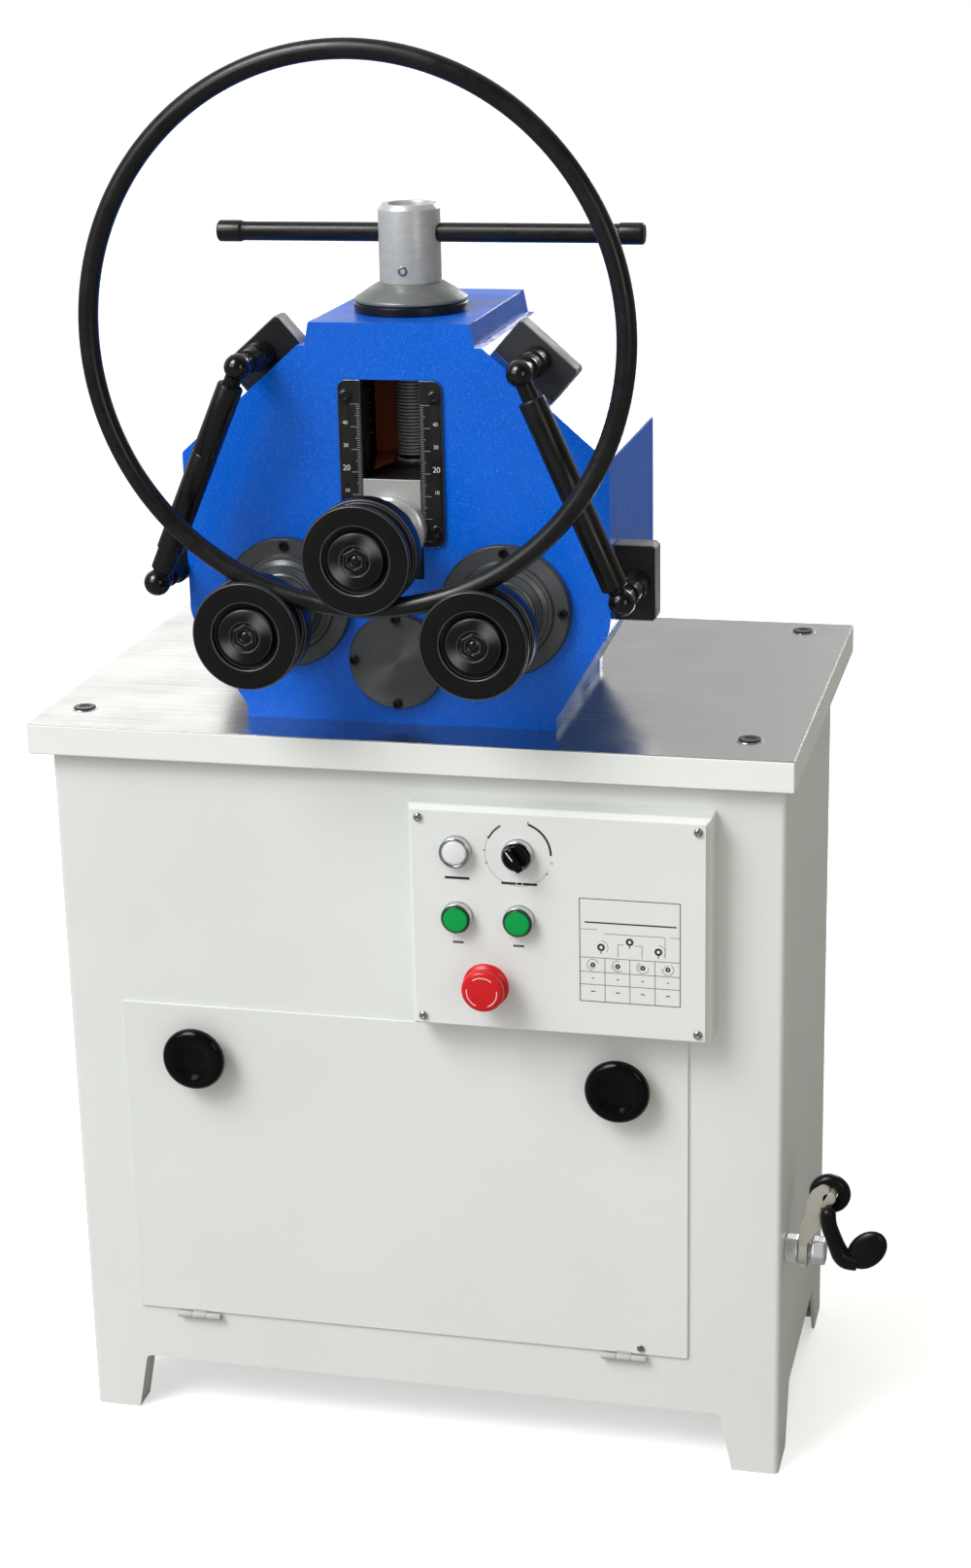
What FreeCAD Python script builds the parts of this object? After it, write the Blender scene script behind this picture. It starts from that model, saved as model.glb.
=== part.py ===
import FreeCAD, Part
import math
import os
import re

import Sketcher

# Ring roller on its cabinet: three grooved rolls bend a bar into a ring.
# X runs to the right, Y to the back and Z up, in millimetres. The origin is
# on the floor, in the middle of the four anchor holes.

# Driving sizes. Each one is a cell of the sheet.
sizes = {
    # cabinet
    "cabinet_width": 674,
    "cabinet_depth": 333,
    "cabinet_wall": 3,
    "leg_height": 58,
    "leg_front_foot": 44,
    "leg_front_top": 55,
    "leg_side_foot": 51,
    "leg_side_top": 75,
    "leg_return": 28,
    "foot_plate": 5,
    "anchor_inset": 22,
    "anchor_hole_dia": 12,
    "floor_sheet": 3,
    "back_margin": 40,
    # table
    "table_height": 702,
    "table_width": 700,
    "table_depth": 466,
    "table_rim": 28.5,
    "table_rim_wall": 4,
    "table_plate": 6,
    "table_sheet": 2,
    "table_left_overhang": 18,
    "table_front_overhang": 13.3,
    "table_bolt_dia": 20,
    "table_bolt_span_x": 618,
    "table_bolt_span_y": 375,
    "table_bolt_front": 58,
    "table_bolt_left": 35,
    "table_bolt_shank": 11.6,
    "table_bolt_grip": 14,
    "table_bolt_head": 3.2,
    "table_bolt_socket": 10.4,
    "table_bolt_gap": 0.4,
    # door
    "door_width": 536,
    "door_height": 319,
    "door_sheet": 2.2,
    "door_bottom": 113.5,
    "door_left": 53,
    "door_lap": 18,
    "door_gap": 0.3,
    "pull_dia": 60,
    "pull_depth": 22,
    "pull_span": 400,
    "pull_left": 74,
    "pull_drop": 47,
    "knuckle_dia": 6.4,
    "knuckle_length": 14,
    "knuckle_inset": 60,
    # control box
    "box_width": 271,
    "box_height": 210,
    "box_depth": 29,
    "box_bevel": 5,
    "box_wall": 2,
    "box_left": 342,
    "box_bottom": 441,
    "panel_sheet": 2,
    "panel_inset": 4.5,
    "panel_screw_inset": 11,
    "control_pitch_x": 56,
    "control_pitch_z": 61.5,
    "control_left": 45,
    "control_top": 40,
    "stop_drop": 120,
    "bezel_dia": 28.4,
    "bezel_bore": 22,
    "bezel_height": 9,
    "button_dia": 21.4,
    "button_rise": 2,
    "button_travel": 3,
    "stem_dia": 8,
    "block_width": 26,
    "block_depth": 16,
    "stop_dia": 43,
    "stop_height": 19,
    "stop_travel": 4,
    "dial_dia": 23,
    "dial_height": 12,
    # screws
    "screw_head_dia": 8.5,
    "screw_head_height": 3,
    "screw_socket": 4,
    # head
    "head_left": 319,
    "head_front": 43.5,
    "head_depth": 215,
    "head_plate": 20,
    "head_cover": 14,
    "head_wall": 8,
    "base_half": 143.5,
    "base_rise": 11,
    "side_half": 193,
    "side_low": 93,
    "side_high": 242,
    "top_half": 83,
    "top_rise": 338.5,
    "tab_low_half": 76,
    "tab_top_half": 72,
    "slab_height": 20.5,
    "low_round": 28,
    "high_round": 4,
    "slot_half": 26.25,
    "slot_low": 134,
    "slot_high": 310,
    "strip_width": 20.5,
    "strip_height": 146,
    "strip_sheet": 3,
    "strip_screw_in": 14,
    # shafts and rolls
    "roll_half_span": 100,
    "lower_shaft_rise": 109.5,
    "upper_shaft_rise": 179.2,
    "roll_reach": 127,
    "roll_dia": 95,
    "roll_width": 45,
    "roll_front_flange": 6,
    "groove_root": 71,
    "groove_side_gap": 0.5,
    "bar_dia": 17,
    "seat_gap": 0.3,
    "running_gap": 0.05,
    "rest_gap": 0.3,
    "seat_dia": 30,
    "journal_dia": 44,
    "collar_dia": 52,
    "collar_width": 14,
    "recess_dia": 57,
    "recess_depth": 6,
    "cap_dia": 47,
    "cap_height": 7,
    "cap_eye_dia": 28,
    "cap_eye_depth": 3.5,
    "cap_hex": 21,
    "flange_dia": 118,
    "flange_sheet": 8,
    "flange_step_dia": 88,
    "flange_nose_dia": 62,
    "flange_nose": 14,
    "flange_screw_circle": 105,
    "spigot_dia": 86,
    "bearing_dia": 75,
    "bearing_width": 18,
    "cover_dia": 88,
    "cover_sheet": 6,
    "cover_screw_circle": 78,
    # gear train
    "pinion_drop": 50.44,
    "gear_teeth": 36,
    "pinion_teeth": 20,
    "gear_width": 24,
    "gear_back": 29,
    "backlash": 0.3,
    # slide
    "carriage_half": 44,
    "carriage_height": 88,
    "carriage_depth": 87,
    "slide_gap": 0.3,
    "neck_half": 25.95,
    "boss_dia": 62,
    "boss_height": 12,
    "way_width": 16,
    "way_depth": 70,
    "way_height": 196,
    "keeper_height": 14,
    "keeper_half_width": 24,
    "keeper_half_depth": 26,
    # spindle
    "spindle_back": 81,
    "spindle_dia": 32,
    "spindle_neck_dia": 22,
    "spindle_foot_dia": 34,
    "spindle_foot": 6,
    "nut_dia": 58,
    "nut_height": 34,
    "ring_dia": 102,
    "ring_height": 8.5,
    "cone_height": 16,
    "cone_top_dia": 60,
    "hub_dia": 55,
    "hub_height": 68.5,
    "hub_bore": 40,
    "hub_bore_depth": 36,
    "bar_hole_rise": 43,
    "handle_dia": 16.8,
    "handle_end_dia": 19,
    "handle_end": 22,
    "handle_length": 386,
    "handle_offset": 17,
    # side guides
    "bracket_width": 68,
    "bracket_height": 37.5,
    "bracket_thick": 22,
    "bracket_edge": 3,
    "bracket_set_back": 18,
    "roof_slip": 32,
    "lower_bracket_rise": 133,
    "stud_reach": 70,
    "stud_height": 20,
    "stud_dia": 12,
    "stud_collar_dia": 21,
    "stud_collar": 20,
    "ball_dia": 23.5,
    "ball_pocket": 5,
    "guide_dia": 23.5,
    "guide_top_neck": 23,
    "guide_low_neck": 13,
    "guide_neck_dia": 15,
    "left_roof_slip": 38,
    "left_stud_height": 16.3,
    "left_bracket_height": 33.5,
    "left_lower_rise": 135.5,
    "left_lower_stud_height": 11,
    "left_lower_bracket_width": 46,
    "left_lower_bracket_height": 24,
    "left_lower_bracket_lift": 11.5,
    "left_guide_dia": 23,
    "left_guide_end_dia": 20,
    "left_guide_end": 33,
    "left_guide_top_neck": 16.6,
    "left_guide_low_neck": 12,
    # drive
    "reducer_width": 120,
    "reducer_height": 190,
    "reducer_depth": 140,
    "reducer_flange_dia": 130,
    "reducer_flange": 8,
    "reducer_lift": 6,
    "worm_distance": 63,
    "motor_dia": 124,
    "motor_length": 150,
    "motor_flange_dia": 140,
    "motor_flange": 10,
    "fan_cover": 34,
    "terminal_box": 60,
    "terminal_height": 24,
    # side lever
    "lever_bolt_y": 31.5,
    "lever_bolt_z": 220,
    "bolt_dia": 16,
    "hex_across": 24,
    "nut_thick": 13,
    "arm_start": 13.5,
    "arm_thick": 8,
    "riser_thick": 6,
    "arm_eye_dia": 30,
    "bolt_head_start": 24.5,
    "eye_x": 40,
    "eye_rise": 58.5,
    "eye_radius": 13,
    "lever_dia": 12,
    "peg_dia": 13,
    "stem_round": 14,
    "elbow_round": 18,
    "spoon_length": 43,
    "spoon_width": 31,
    "spoon_thick": 13,
}

# Sizes that follow from the ones above.
worked_out = {
    "cabinet_left": "0 - cabinet_width / 2",
    "cabinet_front": "0 - cabinet_depth / 2",
    "cabinet_top": "table_height - table_sheet - table_plate",
    "table_left": "cabinet_left - table_left_overhang",
    "table_front": "cabinet_front - table_front_overhang",
    "head_x": "cabinet_left + head_left",
    "head_y": "cabinet_front + head_front",
    "head_back": "head_y + head_depth",
    "slab_top": "table_height + top_rise + slab_height",
    "lower_z": "table_height + lower_shaft_rise",
    "upper_z": "table_height + upper_shaft_rise",
    "roll_face": "head_y - roll_reach",
    "roll_back": "roll_face + roll_width",
    "groove_y": "roll_face + roll_front_flange + groove_half",
    "groove_half": "bar_dia / 2 + groove_side_gap",
    "gear_reach": "sqrt(roll_half_span ^ 2 + pinion_drop ^ 2)",
    "gear_module": "2 * gear_reach / (gear_teeth + pinion_teeth)",
    "pinion_z": "lower_z - pinion_drop",
    "gear_front": "head_back - head_cover - gear_back - gear_width",
    "bar_seat": "groove_root / 2 + seat_gap",
    "arch_height": "upper_z - bar_seat - lower_z",
    "ring_inner": "(arch_height ^ 2 + roll_half_span ^ 2 - (bar_dia + bar_seat) ^ 2)"
                  " / (2 * (bar_dia + bar_seat - arch_height))",
    "ring_z": "upper_z - bar_seat + ring_inner",
    "carriage_low": "upper_z - carriage_height / 2",
    "carriage_front": "head_y + head_plate + slide_gap",
    "spindle_y": "head_y + spindle_back",
    "keeper_top": "carriage_low + carriage_height + keeper_height",
    "ring_low": "slab_top",
    "cone_low": "slab_top + ring_height + rest_gap",
    "bar_hole_z": "cone_low + cone_height + bar_hole_rise",
    "ball_y": "head_y + bracket_set_back - stud_reach",
    "roof_angle": "atan((top_rise - side_high) / (side_half - top_half))",
    "roof_mid_x": "(side_half + top_half) / 2 - roof_slip * cos(roof_angle)",
    "roof_mid_z": "table_height + (side_high + top_rise) / 2 + roof_slip * sin(roof_angle)",
    "upper_ball_x": "roof_mid_x + stud_height * sin(roof_angle)",
    "upper_ball_z": "roof_mid_z + stud_height * cos(roof_angle)",
    "lower_ball_x": "side_half + stud_height",
    "lower_ball_z": "table_height + lower_bracket_rise",
    "guide_angle": "atan((lower_ball_x - upper_ball_x) / (upper_ball_z - lower_ball_z))",
    "guide_length": "sqrt((lower_ball_x - upper_ball_x) ^ 2 + (upper_ball_z - lower_ball_z) ^ 2)",
    "left_roof_mid_x": "(side_half + top_half) / 2 - left_roof_slip * cos(roof_angle)",
    "left_roof_mid_z": "table_height + (side_high + top_rise) / 2"
                       " + left_roof_slip * sin(roof_angle)",
    "left_upper_ball_x": "left_roof_mid_x + left_stud_height * sin(roof_angle)",
    "left_upper_ball_z": "left_roof_mid_z + left_stud_height * cos(roof_angle)",
    "left_lower_ball_x": "side_half + left_lower_stud_height",
    "left_lower_ball_z": "table_height + left_lower_rise",
    "left_guide_angle": "atan((left_lower_ball_x - left_upper_ball_x)"
                        " / (left_upper_ball_z - left_lower_ball_z))",
    "left_guide_length": "sqrt((left_lower_ball_x - left_upper_ball_x) ^ 2"
                         " + (left_upper_ball_z - left_lower_ball_z) ^ 2)",
    "motor_z": "pinion_z + worm_distance",
    "reducer_back": "head_back + reducer_flange + reducer_depth",
    "motor_y": "head_back + reducer_flange + reducer_depth / 2",
    "cabinet_right": "cabinet_width / 2",
    "lever_y": "cabinet_front + lever_bolt_y",
    "eye_z": "lever_bolt_z + eye_rise",
    "riser_front": "lever_y - lever_dia / 2 - rest_gap - riser_thick",
    "stem_y": "riser_front - rest_gap - stem_round / 2",
    "box_x": "cabinet_left + box_left",
    "box_front": "cabinet_front - box_depth",
    "panel_face": "box_front - panel_sheet",
    "control_x": "box_x + control_left",
    "control_z": "box_bottom + box_height - control_top",
    "block_front": "cabinet_front - rest_gap - block_depth",
    "stem_reach": "block_front - panel_face - rest_gap - button_travel",
    "door_x": "cabinet_left + door_left",
    "door_back": "cabinet_front - door_gap",
    "hinge_y": "door_back - door_sheet - knuckle_dia / 2 + 1.5",
    "hinge_z": "door_bottom - knuckle_dia / 2 - 0.4",
    "plate_back": "cabinet_depth / 2",
}

# Which way the local Z of a turned piece points.
upward = FreeCAD.Rotation()
frontward = FreeCAD.Rotation(FreeCAD.Vector(1, 0, 0), 90)
backward = FreeCAD.Rotation(FreeCAD.Vector(1, 0, 0), -90)
rightward = FreeCAD.Rotation(FreeCAD.Vector(0, 1, 0), 90)
leftward = FreeCAD.Rotation(FreeCAD.Vector(0, 1, 0), -90)

document = FreeCAD.newDocument("RingRoller")
sheet = document.addObject("Spreadsheet::Sheet", "Sizes")
for row, (word, value) in enumerate(sizes.items(), start=1):
    sheet.set(f"A{row}", word)
    sheet.set(f"B{row}", str(value))
    sheet.setAlias(f"B{row}", word)
document.recompute()

nodes = {}


def formula(rule):
    """A rule in the words above, as an expression on the sheet."""

    def in_sheet(match):
        word = match.group(0)
        if word in sizes:
            return f"Sizes.{word}"
        if word in worked_out:
            return f"({formula(worked_out[word])})"
        return word

    return re.sub(r"[a-z][a-z_0-9]*", in_sheet, str(rule))


def number(rule):
    """What a rule comes to in millimetres or degrees."""
    found = sheet.evalExpression(formula(rule))
    return float(getattr(found, "Value", found))


def place(item, x=0, y=0, z=0, turn=upward):
    """Turn an object and tie its position to the sheet."""
    item.Placement = FreeCAD.Placement(FreeCAD.Vector(), turn)
    for axis, rule in zip("xyz", (x, y, z)):
        item.setExpression(f"Placement.Base.{axis}", formula(rule))
    return item


def keep(node, item):
    """Record an object as a sub-part with its own file."""
    item.Label = node
    nodes[node] = item
    return item


def origin_plane(body, role):
    """One of a body's own origin planes."""
    return next(f for f in body.Origin.OriginFeatures if f.Role == role)


def tie(sketch, constraint, rule):
    """Add a constraint and tie its value to the sheet."""
    index = sketch.addConstraint(constraint)
    sketch.setExpression(f"Constraints[{index}]", formula(rule))


def arc_centre(start, end, radius, side):
    """Centre of an arc from start to end; side is +1 when it lies to the left."""
    chord = end - start
    rise = math.sqrt(max(radius ** 2 - (chord.Length / 2) ** 2, 0))
    left = FreeCAD.Vector(-chord.y, chord.x, 0).normalize()
    return (start + end) * 0.5 + left * rise * side


def draw_loop(sketch, points):
    """Draw a closed outline; each point is (x, y) or (x, y, arc radius, side).

    A radius rounds the stretch that ends at its point.
    """
    spots = [FreeCAD.Vector(number(p[0]), number(p[1]), 0) for p in points]
    first = sketch.GeometryCount
    ends = []
    for index, point in enumerate(points):
        start = spots[index - 1]
        end = spots[index]
        if len(point) == 2:
            sketch.addGeometry(Part.LineSegment(start, end), False)
            ends.append((1, 2))
            continue
        radius = number(point[2])
        centre = arc_centre(start, end, radius, point[3])
        angles = [math.atan2(v.y - centre.y, v.x - centre.x) for v in (start, end)]
        if point[3] < 0:
            angles.reverse()
        circle = Part.Circle(centre, FreeCAD.Vector(0, 0, 1), radius)
        sketch.addGeometry(Part.ArcOfCircle(circle, *angles), False)
        ends.append((1, 2) if point[3] > 0 else (2, 1))
    count = len(points)
    for index, point in enumerate(points):
        after = (index + 1) % count
        sketch.addConstraint(Sketcher.Constraint(
            "Coincident", first + index, ends[index][1], first + after, ends[after][0]))
        for kind, rule, value in (("DistanceX", point[0], spots[index].x),
                                  ("DistanceY", point[1], spots[index].y)):
            tie(sketch, Sketcher.Constraint(
                kind, -1, 1, first + index, ends[index][1], value), rule)
        if len(point) > 2:
            tie(sketch, Sketcher.Constraint(
                "Radius", first + index, number(point[2])), point[2])


def draw_circle(sketch, x, y, diameter):
    """Draw a circle tied to the sheet."""
    centre = FreeCAD.Vector(number(x), number(y), 0)
    radius = number(diameter) / 2
    circle = Part.Circle(centre, FreeCAD.Vector(0, 0, 1), radius)
    index = sketch.addGeometry(circle, False)
    tie(sketch, Sketcher.Constraint("DistanceX", -1, 1, index, 3, centre.x), x)
    tie(sketch, Sketcher.Constraint("DistanceY", -1, 1, index, 3, centre.y), y)
    tie(sketch, Sketcher.Constraint("Radius", index, radius), f"({diameter}) / 2")


def new_sketch(body, name, role):
    """A sketch on one of the body's origin planes."""
    sketch = body.newObject("Sketcher::SketchObject", name)
    sketch.AttachmentSupport = [(origin_plane(body, role), "")]
    sketch.MapMode = "FlatFace"
    return sketch


def plate(name, role, outline, thickness, at=(0, 0, 0), turn=upward, windows=(), holes=()):
    """A body padded from a flat outline with windows and round holes.

    On XZ_Plane it grows to the front, on YZ_Plane to the right, on XY_Plane up.
    """
    body = document.addObject("PartDesign::Body", name)
    sketch = new_sketch(body, f"{name}_outline", role)
    draw_loop(sketch, outline)
    for window in windows:
        draw_loop(sketch, window)
    for hole in holes:
        draw_circle(sketch, *hole)
    pad = body.newObject("PartDesign::Pad", f"{name}_pad")
    pad.Profile = sketch
    pad.setExpression("Length", formula(thickness))
    place(body, *at, turn=turn)
    document.recompute()
    return body


def turned(name, profile, at=(0, 0, 0), turn=upward):
    """A body turned about its local Z from a profile of (radius, height) points."""
    body = document.addObject("PartDesign::Body", name)
    sketch = new_sketch(body, f"{name}_profile", "XZ_Plane")
    draw_loop(sketch, profile)
    spin = body.newObject("PartDesign::Revolution", f"{name}_turning")
    spin.Profile = sketch
    spin.ReferenceAxis = (sketch, ["V_Axis"])
    spin.Angle = 360
    place(body, *at, turn=turn)
    document.recompute()
    return body


def rounded(body, radius, touches):
    """Fillet the edges of a body's tip that the test picks."""
    tip = body.Tip
    names = [f"Edge{i}" for i, edge in enumerate(tip.Shape.Edges, start=1) if touches(edge)]
    fillet = body.newObject("PartDesign::Fillet", f"{body.Name}_{radius}")
    fillet.Base = (tip, names)
    fillet.setExpression("Radius", formula(radius))
    document.recompute()
    return body


def bevelled(body, size, touches):
    """Chamfer the edges of a body's tip that the test picks."""
    tip = body.Tip
    names = [f"Edge{i}" for i, edge in enumerate(tip.Shape.Edges, start=1) if touches(edge)]
    chamfer = body.newObject("PartDesign::Chamfer", f"{body.Name}_bevel")
    chamfer.Base = (tip, names)
    chamfer.setExpression("Size", formula(size))
    document.recompute()
    return body


def cross_edge(axis, spots):
    """A test for straight edges along an axis that pass through given corners."""
    flat = [i for i in range(3) if i != axis]

    def touches(edge):
        if len(edge.Vertexes) != 2:
            return False
        ends = [vertex.Point for vertex in edge.Vertexes]
        if (ends[0] - ends[1]).Length - abs(ends[0][axis] - ends[1][axis]) > 1e-6:
            return False
        return any(all(abs(ends[0][i] - spot[k]) < 1e-3 for k, i in enumerate(flat))
                   for spot in spots)

    return touches


def block(name, width, depth, height, x, y, z):
    """A box by its low corner."""
    box = document.addObject("Part::Box", name)
    for prop, rule in (("Length", width), ("Width", depth), ("Height", height)):
        box.setExpression(prop, formula(rule))
    return place(box, x, y, z)


def rod(name, diameter, height, x, y, z, turn=upward):
    """A cylinder along its local Z."""
    cylinder = document.addObject("Part::Cylinder", name)
    cylinder.setExpression("Radius", formula(f"({diameter}) / 2"))
    cylinder.setExpression("Height", formula(height))
    return place(cylinder, x, y, z, turn)


def sphere_at(name, diameter, x, y, z):
    """A ball by its centre."""
    sphere = document.addObject("Part::Sphere", name)
    sphere.setExpression("Radius", formula(f"({diameter}) / 2"))
    return place(sphere, x, y, z)


def hexagon(name, across, height, x, y, z, turn=upward):
    """A hexagonal prism by its width across the flats."""
    prism = document.addObject("Part::Prism", name)
    prism.Polygon = 6
    prism.setExpression("Circumradius", formula(f"({across}) / 2 / cos(30)"))
    prism.setExpression("Height", formula(height))
    return place(prism, x, y, z, turn)


def less(name, base, tools):
    """The base with the tools cut away."""
    tool = tools[0] if len(tools) == 1 else joined(f"{name}_tools", tools)
    cut = document.addObject("Part::Cut", name)
    cut.Base = base
    cut.Tool = tool
    document.recompute()
    return cut


def joined(name, parts):
    """Several shapes as one."""
    fuse = document.addObject("Part::MultiFuse", name)
    fuse.Shapes = parts
    fuse.Refine = True
    document.recompute()
    return fuse


def copies(name, master, spots):
    """Separate copies of one piece; a spot is (x, y, z) or (x, y, z, rotation)."""
    links = []
    for index, spot in enumerate(spots, start=1):
        link = document.addObject("App::Link", f"{name}_{index}")
        link.LinkedObject = master
        turn = spot[3] if len(spot) > 3 else master.Placement.Rotation
        links.append(place(link, *spot[:3], turn=turn))
    group = document.addObject("Part::Compound", name)
    group.Links = links
    document.recompute()
    return group


def rectangle(left, low, right, high):
    """Corner points of a rectangle."""
    return [(left, low), (right, low), (right, high), (left, high)]


def mirrored(half):
    """A right-hand outline from the bottom up, closed by its mirror image."""
    return half + [(f"0 - ({x})", y) for x, y in reversed(half)]


def build_cabinet():
    """Welded sheet cabinet on four corner legs, with its back panel."""
    outer = block("cabinet_outer", "cabinet_width", "cabinet_depth", "cabinet_top",
                  "cabinet_left", "cabinet_front", 0)
    inner = block("cabinet_inner", "cabinet_width - 2 * cabinet_wall",
                  "cabinet_depth - 2 * cabinet_wall", "cabinet_top - leg_height - floor_sheet",
                  "cabinet_left + cabinet_wall", "cabinet_front + cabinet_wall",
                  "leg_height + floor_sheet")
    under = block("cabinet_under", "cabinet_width - 2 * cabinet_wall",
                  "cabinet_depth - 2 * cabinet_wall", "leg_height",
                  "cabinet_left + cabinet_wall", "cabinet_front + cabinet_wall", 0)
    front_arch = plate("front_arch", "XZ_Plane",
                       [("cabinet_width / 2 - leg_front_foot", -1),
                        ("cabinet_width / 2 - leg_front_top", "leg_height"),
                        ("leg_front_top - cabinet_width / 2", "leg_height"),
                        ("leg_front_foot - cabinet_width / 2", -1)],
                       "cabinet_depth + 2", (0, "cabinet_depth / 2 + 1", 0))
    side_arch = plate("side_arch", "YZ_Plane",
                      [("cabinet_depth / 2 - leg_side_foot", -1),
                       ("cabinet_depth / 2 - leg_side_top", "leg_height"),
                       ("leg_side_top - cabinet_depth / 2", "leg_height"),
                       ("leg_side_foot - cabinet_depth / 2", -1)],
                      "cabinet_width + 2", ("cabinet_left - 1", 0, 0))
    opening = block("door_opening", "door_width - 2 * door_lap", "cabinet_wall + 2",
                    "door_height - 2 * door_lap", "door_x + door_lap",
                    "cabinet_front - 1", "door_bottom + door_lap")
    wiring = block("wiring_opening", "box_width - 60", "cabinet_wall + 2", "box_height - 60",
                   "box_x + 30", "cabinet_front - 1", "box_bottom + 30")
    back_opening = block("back_opening", "cabinet_width - 2 * back_margin", "cabinet_wall + 2",
                         "cabinet_top - leg_height - 2 * back_margin",
                         "cabinet_left + back_margin", "plate_back - cabinet_wall - 1",
                         "leg_height + back_margin")
    shell = less("cabinet_walls", outer,
                 [inner, under, front_arch, side_arch, opening, wiring, back_opening])
    pieces = [shell]
    for side, sign in (("left", "-1"), ("right", "1")):
        edge = f"{sign} * (cabinet_width / 2"
        for end, y in (("front", "cabinet_front + leg_return"), ("back", "plate_back")):
            pieces.append(plate(
                f"leg_return_{side}_{end}", "XZ_Plane",
                [(f"{edge} - leg_front_foot + cabinet_wall)", 0),
                 (f"{edge} - leg_front_top + cabinet_wall)", "leg_height"),
                 (f"{edge} - leg_front_top)", "leg_height"),
                 (f"{edge} - leg_front_foot)", 0)],
                "leg_return", (0, y, 0)))
            foot_y = "cabinet_front" if end == "front" else "plate_back - leg_return"
            foot_x = ("cabinet_left" if side == "left"
                      else "cabinet_width / 2 - leg_front_foot")
            foot = block(f"foot_{side}_{end}", "leg_front_foot", "leg_return", "foot_plate",
                         foot_x, foot_y, 0)
            y_sign = "-1" if end == "front" else "1"
            hole = rod(f"anchor_hole_{side}_{end}", "anchor_hole_dia", "foot_plate + 2",
                       f"{edge} - anchor_inset)",
                       f"{y_sign} * (cabinet_depth / 2 - leg_return / 2)", -1)
            pieces.append(less(f"foot_plate_{side}_{end}", foot, [hole]))
    keep("cabinet_shell", joined("cabinet_shell", pieces))

    slots = [rectangle("-90", f"{z}", "90", f"{z} + 6") for z in range(-40, 41, 20)]
    keep("back_panel", plate(
        "back_panel", "XZ_Plane",
        rectangle("back_margin / 2 - cabinet_width / 2", "leg_height + back_margin / 2",
                  "cabinet_width / 2 - back_margin / 2", "cabinet_top - back_margin / 2"),
        "2", (0, "plate_back + 2", 0),
        windows=[[(x, f"{z} + (leg_height + cabinet_top) / 2") for x, z in slot]
                 for slot in slots]))


def build_table():
    """Rim frame with its stainless top sheet and four sunk bolts."""
    rim = block("rim_outer", "table_width", "table_depth", "table_rim - table_sheet",
                "table_left", "table_front", "table_height - table_rim")
    hollow = block("rim_inner", "table_width - 2 * table_rim_wall",
                   "table_depth - 2 * table_rim_wall",
                   "table_rim - table_sheet - table_plate",
                   "table_left + table_rim_wall", "table_front + table_rim_wall",
                   "table_height - table_rim")
    spots = [(f"table_left + table_bolt_left + {i} * table_bolt_span_x",
              f"table_front + table_bolt_front + {j} * table_bolt_span_y")
             for i in (0, 1) for j in (0, 1)]
    frame_holes = [rod(f"frame_hole_{i}", "table_bolt_shank + table_bolt_gap",
                       "table_plate + 2", x, y, "table_height - table_sheet - table_plate - 1")
                   for i, (x, y) in enumerate(spots)]
    sheet_holes = [rod(f"sheet_hole_{i}", "table_bolt_dia + 4", "table_sheet + 2", x, y,
                       "table_height - table_sheet - 1") for i, (x, y) in enumerate(spots)]
    keep("table_frame", less("table_frame", rim, [hollow] + frame_holes))
    top = block("top_sheet", "table_width", "table_depth", "table_sheet",
                "table_left", "table_front", "table_height - table_sheet")
    keep("table_top", less("table_top", top, sheet_holes))
    bolt = turned("table_bolt",
                  [(0, "0 - table_bolt_grip"), ("table_bolt_shank / 2", "0 - table_bolt_grip"),
                   ("table_bolt_shank / 2", 0), ("table_bolt_dia / 2", 0),
                   ("table_bolt_dia / 2", "table_bolt_head - 0.8"),
                   ("table_bolt_dia / 2 - 1.2", "table_bolt_head"),
                   ("table_bolt_socket / 2", "table_bolt_head"),
                   ("table_bolt_socket / 2", "table_bolt_head - table_sheet"),
                   (0, "table_bolt_head - table_sheet")])
    keep("table_bolts", copies("table_bolts", bolt, [
        (x, y, "table_height - table_sheet") for x, y in spots]))


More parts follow.
